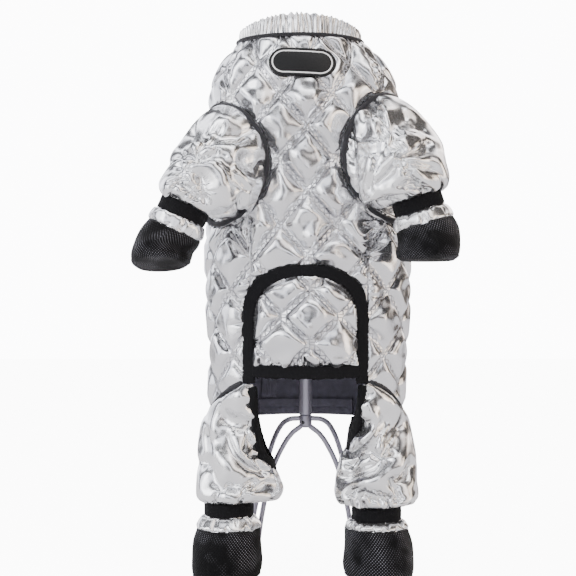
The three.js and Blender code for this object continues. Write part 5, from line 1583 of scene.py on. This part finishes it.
def boot_top(name, upper, lower, mouth, replaces):
    """A tube between two frames, cut far too wide and drawn in at both ends, relaxed into gathers."""
    angle, down = np.meshgrid(np.linspace(0, 2 * np.pi, 161), np.linspace(-0.1, 1.06, 25))
    share = np.clip(down, 0, 1)
    radius = CUFF_WIDTH / 2 - 0.5 * MM + (mouth / 2 - 0.4 * MM - CUFF_WIDTH / 2 + 0.5 * MM) * share
    radius = radius + 0.6 * MM * np.sin(np.pi * share)
    x, y = radius * np.cos(-angle), radius * np.sin(-angle)
    length = np.linalg.norm(upper[0] - lower[0])
    a = placed(upper, x, y, np.where(down < 0, -down * length, 0))
    b = placed(lower, x, y, np.where(down > 1, (1 - down) * length, 0))
    base = a + share[..., None] * (b - a)
    held = np.maximum(1 - ease(-0.1, 0.02, down), ease(0.96, 1.06, down))
    how = how_to_relax(base.shape[:2], True, filling=0.03 * MM, ceiling=1.8 * MM, floor=-1.4 * MM, start=1.2 * MM,
                       bend=0.1, smooth=0.06)
    out = facing(base, True)
    wobble = 0.35 * MM * soft_noise(*base.shape[:2], 4, True)
    target = base + out * wobble[..., None]
    pleated = np.full(down.shape, 0.2)
    cloth = relax_cloth(base, (pleated, pleated * 0.4), held * 0.9, target, how, (60, 50, 40))
    inner = base - out * 1.5 * MM
    points, faces = walled(cloth.reshape(-1, 3), inner.reshape(-1, 3), grid_triangles(*angle.shape))
    flat = np.stack([angle * 0.02, down * 0.01], -1).reshape(-1, 2)
    make_piece(name, points, faces, PLAIN_CLOTH, replaces,
               cloth=np.concatenate([flat, flat]))


def boot(name, sole, mouth, scale, replaces):
    """A soft sock: loops from the middle of the sole, round its edge, up to the mouth and down inside."""
    angle = np.linspace(0, 2 * np.pi, 160, endpoint=False)[None, :]
    height = np.linalg.norm(mouth[0] - sole[0])

    def loops(at, inset, shrink):
        at, inset, shrink = (np.asarray(v, float)[:, None] for v in (at, inset, shrink))
        toe = np.where(np.cos(angle) > 0, along(BOOT, "toe", at), along(BOOT, "heel", at))
        sag = 0.5 * MM * np.sin(angle * 3 + at * 5) * np.sin(np.pi * at) + 0.4 * MM * np.sin(angle * 5 - at * 7) * at
        wide = BOOT_WIDTH / 2 * scale * along(BOOT, "wide", at) - inset + sag
        long = BOOT_LENGTH * scale * toe - inset + sag
        x, y = wide * np.sin(angle) * shrink, -long * np.cos(angle) * shrink
        upright = placed(sole, x, y, height * at)
        turned = placed(mouth, x, y, -height * (1 - at))
        return upright + ease(0, 1, at)[..., None] * (turned - upright)

    rise = np.linspace(0, 1, 34)[1:]
    rise = rise**1.3
    ridge = np.where(np.abs(rise - 0.1) < 0.025, -0.5 * MM, 0)
    ones = np.ones_like(rise)
    shrink = np.linspace(0.03, 1, 12)
    down = np.linspace(1, 0.09, 12)
    rings = np.concatenate([
        loops(0 * shrink, 0 * shrink, shrink), loops(rise, ridge, ones),
        loops([1, 1], [0.4 * MM, BOOT_WALL - 0.4 * MM], [1, 1]), loops(down, 0 * down + BOOT_WALL, 0 * down + 1),
        loops(0 * shrink + 0.09, 0 * shrink + BOOT_WALL, shrink[::-1]),
    ])
    points, faces = lofted(rings)
    steps = np.linalg.norm(np.diff(rings, axis=0), axis=-1).mean(1)
    length = np.concatenate([[0], np.cumsum(steps)])
    around = angle * BOOT_WIDTH / 2 * scale
    flat = np.stack(np.broadcast_arrays(around, length[:, None]), -1).reshape(-1, 2)
    flat = np.concatenate([flat, [[0, 0], [0, length[-1]]]])
    make_piece(name, points, faces, BOOT_MESH, replaces, cloth=flat)


for name in ("left", "right"):
    for end, foot in (("front", front_foot(name)), ("hind", hind_foot(name))):
        cuff_frame, top_frame, end_frame, mouth, sole, scale = foot
        cuff(f"{end}_cuff_{name}_elastic", cuff_frame, [f"{end}_cuff_{name}"])
        boot_top(f"{end}_boot_top_{name}_cloth", top_frame, end_frame, BOOT_MOUTH * scale,
                 [f"{end}_boot_top_{name}"])
        boot(f"{end}_boot_{name}_knit", sole, mouth, scale, [f"{end}_boot_{name}"])

# %% [markdown]
# ## Lining
# Through the belly hole the grey lining of the back shows: a plain woven
# sheet, an upright facing strip near its left, and a folded hem at its foot.

# %% Lining sheets
def lining_sheet(name, node, start, end, low, high, inset, wall, turned_edge=False):
    """A thin sheet inside the back, between two turns and two heights, with slow soft waves."""
    share, up = np.meshgrid(np.linspace(0, 1, 65), np.linspace(0, 1, 33))
    turn = np.pi + np.radians(start + (end - start) * share)
    height = body_height(low) + (body_height(high) - body_height(low)) * up
    wave = 0.25 * MM * np.sin(share * 19 + up * 3) + 0.2 * MM * np.sin(share * 41 - up * 7)
    groove = -0.35 * MM * np.exp(-(((up - 0.5) / 0.06) ** 2)) if turned_edge else 0
    place = trunk(turn, height, -QUILT_WALL - GAP - inset - wall + wave * 0.5 - groove)
    back = trunk(turn, height, -QUILT_WALL - GAP - inset + wave * 0.5)
    points, faces = walled(place.reshape(-1, 3), back.reshape(-1, 3), grid_triangles(*share.shape))
    faces = turned_outwards(points - points.mean(0), faces)
    flat = np.stack([share * np.radians(end - start) * 0.067, height], -1).reshape(-1, 2)
    piece = make_piece(name, points, faces, LINING_CLOTH, [node],
                       cloth=np.concatenate([flat, flat]))
    width = float(np.linalg.norm(np.diff(back[30], axis=0), axis=-1).sum())
    print(f"{name}: {width * 1000:.0f} mm wide, {(body_height(high) - body_height(low)) * 1000:.0f} mm high")
    return piece, width, float(body_height(high) - body_height(low))


lining, lining_width, lining_length = lining_sheet("lining_sheet", "lining", -70, 70, -0.004, 0.25, 0, 1.0 * MM)
strip, *_ = lining_sheet("lining_facing_strip", "lining_facing", 20, 31, 0.045, 0.25, 1.9 * MM, 1.0 * MM)
hem, *_ = lining_sheet("rear_hem_fold", "rear_hem", -34, 34, -0.003, 0.04, 1.9 * MM, 1.5 * MM, turned_edge=True)

# %% [markdown]
# ## The stand
# A bent tube stand, sprayed grey: one pole, a short hub where the legs are
# joined by a screw, and four legs with rubber feet.

# %% Stand
def stand_finish():
    """Satin grey paint on steel: fine speckle, slightly uneven gloss."""
    material, tree, shader = new_material("stand paint", Metallic=0.55, Coat_Weight=0.15, Coat_Roughness=0.25)
    place = put(tree, "ShaderNodeTexCoord")
    speckle = put(tree, "ShaderNodeTexNoise", {"Scale": 700.0, "Detail": 3.0})
    cloudy = put(tree, "ShaderNodeTexNoise", {"Scale": 18.0, "Detail": 2.0})
    wire(tree, (place.outputs["Object"], speckle.inputs["Vector"]), (place.outputs["Object"], cloudy.inputs["Vector"]),
         (tinted(tree, cloudy.outputs["Fac"], (0.3, 0.29, 0.35), (0.46, 0.45, 0.53)), shader.inputs["Base Color"]),
         (ranged(tree, cloudy.outputs["Fac"], 0.3, 0.45, 0.3, 0.7), shader.inputs["Roughness"]))
    bumped(tree, shader, speckle.outputs["Fac"], 0.05 * MM, 0.6)
    return material


STAND_PAINT = stand_finish()
RUBBER = matt_cloth("foot rubber", (0.05, 0.05, 0.055), 300.0, rough=0.7, depth=0.02 * MM, sheen=0.0)
POLE_RADIUS, HUB_HEIGHT, WIRE_RADIUS = 4.85 * MM, 121 * MM, 2 * MM
FOOT_SPREAD, FOOT_REACH, FOOT_HEIGHT = 96 * MM, 52 * MM, 6 * MM
YOKE_RADIUS, YOKE_HEIGHT = 4 * MM, body_height(0.9)


def lathe(name, node, profile, middle, material, sides=56):
    """A profile of (radius, height) turned round an upright line."""
    radius, height = np.array(profile).T
    angle = np.linspace(0, 2 * np.pi, sides, endpoint=False)
    rings = np.stack(np.broadcast_arrays(radius[:, None] * np.cos(angle), radius[:, None] * np.sin(angle),
                                         height[:, None]), -1) + np.asarray(middle)
    points, faces = lofted(rings)
    across = angle * radius.max()
    make_piece(name, points, faces, material, node, cloth=flat_map(rings, across))


def rolled(radius, low, high, edge=0.5 * MM):
    """A round bar's profile with rounded rims."""
    turn = np.linspace(0, np.pi / 2, 5)
    foot = [(radius - edge + edge * np.sin(t), low + edge - edge * np.cos(t)) for t in turn]
    head = [(radius - edge + edge * np.cos(t), high - edge + edge * np.sin(t)) for t in turn]
    return [(0.01 * MM, low), *foot, *head, (0.01 * MM, high)]


lathe("stand_pole_tube", ["stand_pole"], rolled(POLE_RADIUS, HUB_HEIGHT + GAP, YOKE_HEIGHT - YOKE_RADIUS - GAP),
      AXIS, STAND_PAINT)
lathe("stand_hub_block", ["stand_hub"],
      [(0.01 * MM, HUB_HEIGHT - 9.7 * MM), (2.8 * MM, HUB_HEIGHT - 9.7 * MM), (3.6 * MM, HUB_HEIGHT - 9.4 * MM),
       (4.5 * MM, HUB_HEIGHT - 8.3 * MM), (POLE_RADIUS, HUB_HEIGHT - 7.4 * MM), (POLE_RADIUS, HUB_HEIGHT - 0.5 * MM),
       (4.5 * MM, HUB_HEIGHT), (0.01 * MM, HUB_HEIGHT)], AXIS, STAND_PAINT)


def rod(name, node, path, radius, out, material, sides=28):
    """A rounded bar along a path: its radius falls off as a quarter circle at each end."""
    steps = np.concatenate([[0], np.cumsum(np.linalg.norm(np.diff(path, axis=0), axis=-1))])
    room = np.minimum(steps, steps[-1] - steps)
    edge = np.clip(room / (0.6 * MM), 0, 1)
    piping(name, path, out, radius * (0.6 + 0.4 * np.sqrt(1 - (1 - edge) ** 2)), material, node,
           sides=sides)


wide, _, aside = (float(v) for v in trunk_ring(np.array(YOKE_HEIGHT + YOKE_RADIUS)))
half_bar = wide - QUILT_WALL - 4 * GAP
bar = np.zeros((60, 3)) + AXIS + [aside, 0, YOKE_HEIGHT]
bar[:, 0] += half_bar * np.sin(np.linspace(-np.pi / 2, np.pi / 2, 60))
rod("stand_yoke_bar", ["stand_yoke"], bar, YOKE_RADIUS, np.array([0.0, 0, 1]), STAND_PAINT)
STATIONS = {
    "front": table("at out", [(0, 0), (0.05, 0.1), (0.115, 0.21), (0.255, 0.37), (0.4, 0.48), (0.66, 0.6),
                              (0.85, 0.66), (1, 0.7)]),
    "back": table("at out", [(0, 0), (0.01, 0.16), (0.05, 0.28), (0.15, 0.4), (0.27, 0.49), (0.38, 0.57),
                             (0.58, 0.68), (0.8, 0.78), (1, 0.86)]),
}


def stand_leg(place, name, side):
    """A wire from the hub's side, over a shoulder and down to its foot, through its stations."""
    back = place == "back"
    rise = -9.7 * MM * (0.25 if back else 0.85)
    reach = FOOT_REACH * (1 if back else 0.15)
    stations = STATIONS[place]
    length = np.concatenate([[0], np.cumsum(np.hypot(np.diff(stations["at"]) * 2.4, np.diff(stations["out"])))])
    fine = np.linspace(0, length[-1], 160)
    down = along({"at": length, "down": stations["at"]}, "down", fine)
    out = along({"at": length, "out": stations["out"]}, "out", fine)
    fall = HUB_HEIGHT + rise - FOOT_HEIGHT - WIRE_RADIUS / 2
    path = np.stack([side * (POLE_RADIUS + GAP + out * FOOT_SPREAD / 2 - 2 * MM * (1 - ease(0, 0.12, out))),
                     reach * (np.maximum(down, 0) ** 0.8 if back else down),
                     HUB_HEIGHT + rise - fall * down], -1) + AXIS
    rod(f"stand_leg_{place}_{name}_wire", [f"stand_leg_{place}_{name}"], path, WIRE_RADIUS,
        np.array([0.0, 1, 0]), STAND_PAINT)
    foot = path[-1] * [1, 1, 0]
    profile = [(0.01 * MM, 0), (4.2 * MM, 0), (4.5 * MM, 0.4 * MM), (4.5 * MM, 3.6 * MM), (4.2 * MM, 4.6 * MM),
               (3.3 * MM, 5.8 * MM), (2.9 * MM, 6 * MM), (0.01 * MM, 6 * MM)]
    lathe(f"stand_foot_{place}_{name}_cap", [f"stand_foot_{place}_{name}"], profile, foot, RUBBER)


for name, side in (("left", -1), ("right", 1)):
    for place in ("front", "back"):
        stand_leg(place, name, side)

# The screw's hole is a small dome on the front of the hub in the dark foot rubber: painted shade for the dark hole, not
# the screw's own colour.
screw = np.zeros((12, 3)) + AXIS + [-1.9 * MM, -POLE_RADIUS * 0.93, HUB_HEIGHT - 5.5 * MM]
screw[:, 1] -= np.linspace(-0.6 * MM, 0.7 * MM, 12)
piping("stand_hub_screw_hole_shade", screw, np.array([0.0, 0, 1]),
       1.3 * MM * np.sqrt(1 - np.linspace(0, 0.92, 12) ** 4), RUBBER, [], sides=20)

# %% [markdown]
# ## Floor, light and camera
# A plain pale floor, broad soft lights as in a product studio, and a camera
# as far off and as high as the photograph's.

# %% Studio
FLOOR, floor_tree, floor_shader = new_material("pale floor", Roughness=0.8)
floor_shader.inputs["Base Color"].default_value = (0.86, 0.86, 0.87, 1)
floor_shader.inputs["Emission Color"].default_value = (1, 1, 1, 1)
seen_by = put(floor_tree, "ShaderNodeLightPath")
wire(floor_tree, (ranged(floor_tree, seen_by.outputs["Is Camera Ray"], 0.0, 10.0),
                  floor_shader.inputs["Emission Strength"]))
bpy.ops.mesh.primitive_plane_add(size=6, location=(0, 0, -0.0005))
floor = bpy.context.object
floor.name = "floor"
floor.data.materials.append(FLOOR)

world = bpy.data.worlds.new("studio air")
bpy.context.scene.world = world
world.use_nodes = True


def studio_air(tree):
    """White for the camera. For the cloth a room: soft bright and dark patches, cool on its left, warm on its right."""
    place = put(tree, "ShaderNodeTexCoord")
    way = put(tree, "ShaderNodeSeparateXYZ")
    patches = put(tree, "ShaderNodeTexWave", {"Scale": 0.42, "Distortion": 5.0, "Detail": 1.0, "Detail Scale": 2.6,
                                              "Phase Offset": 0.6}, bands_direction="DIAGONAL")
    sized = put(tree, "ShaderNodeMath", operation="MULTIPLY")
    colour = put(tree, "ShaderNodeVectorMath", operation="SCALE")
    both = put(tree, "ShaderNodeMix", data_type="RGBA")
    both.inputs["B"].default_value = (12, 12, 12.2, 1)
    path = put(tree, "ShaderNodeLightPath")
    wire(tree, (place.outputs["Generated"], way.inputs[0]), (place.outputs["Generated"], patches.inputs["Vector"]))
    light = ranged(tree, patches.outputs["Fac"], 0.1, 1.0)
    deep = put(tree, "ShaderNodeMath", {1: 2.0}, operation="POWER")
    behind = ranged(tree, way.outputs["Y"], 2.6, 4.0, -1.0, 0.6)
    side = ranged(tree, way.outputs["X"], 0.0, 1.0, -0.1, 0.8)
    tint = tinted(tree, side, (0.95, 0.96, 1.03), (1.05, 0.9, 0.78))
    wire(tree, (light, deep.inputs[0]), (deep.outputs[0], sized.inputs[0]), (behind, sized.inputs[1]), (tint, colour.inputs[0]),
         (sized.outputs[0], colour.inputs["Scale"]), (colour.outputs[0], both.inputs["A"]),
         (path.outputs["Is Camera Ray"], both.inputs["Factor"]),
         (both.outputs["Result"], tree.nodes["Background"].inputs["Color"]))


studio_air(world.node_tree)


def soft_light(name, place, aim, size, power, colour=(1, 1, 1)):
    """A rectangular lamp at a place, turned towards a point."""
    lamp = bpy.data.lights.new(name, "AREA")
    lamp.shape, lamp.size, lamp.size_y, lamp.energy, lamp.color = "RECTANGLE", *size, power, colour
    light = bpy.data.objects.new(name, lamp)
    bpy.context.scene.collection.objects.link(light)
    light.location = place
    way = np.array(place) - np.array(aim)
    light.rotation_euler = (np.arctan2(np.hypot(way[0], way[1]), way[2]), 0, np.arctan2(way[0], -way[1]))
    return light


soft_light("left window", (-1.3, -0.9, 0.75), (0, 0, 0.25), (0.9, 1.3), 12)
soft_light("top box", (0.1, -0.5, 1.5), (0, 0, 0.25), (1.0, 0.7), 5)
soft_light("right warm wall", (1.2, -0.4, 0.3), (0, 0, 0.25), (0.5, 0.9), 3, (1, 0.84, 0.68))

camera_data = bpy.data.cameras.new("camera")
camera_data.sensor_width = 36
camera_data.lens = 80.13
camera = bpy.data.objects.new("camera", camera_data)
bpy.context.scene.collection.objects.link(camera)
camera.location = (AXIS[0] - 13.65 * MM, AXIS[1] - 1.0, 220 * MM)
camera.rotation_euler = (np.pi / 2, 0, 0)
bpy.context.scene.camera = camera
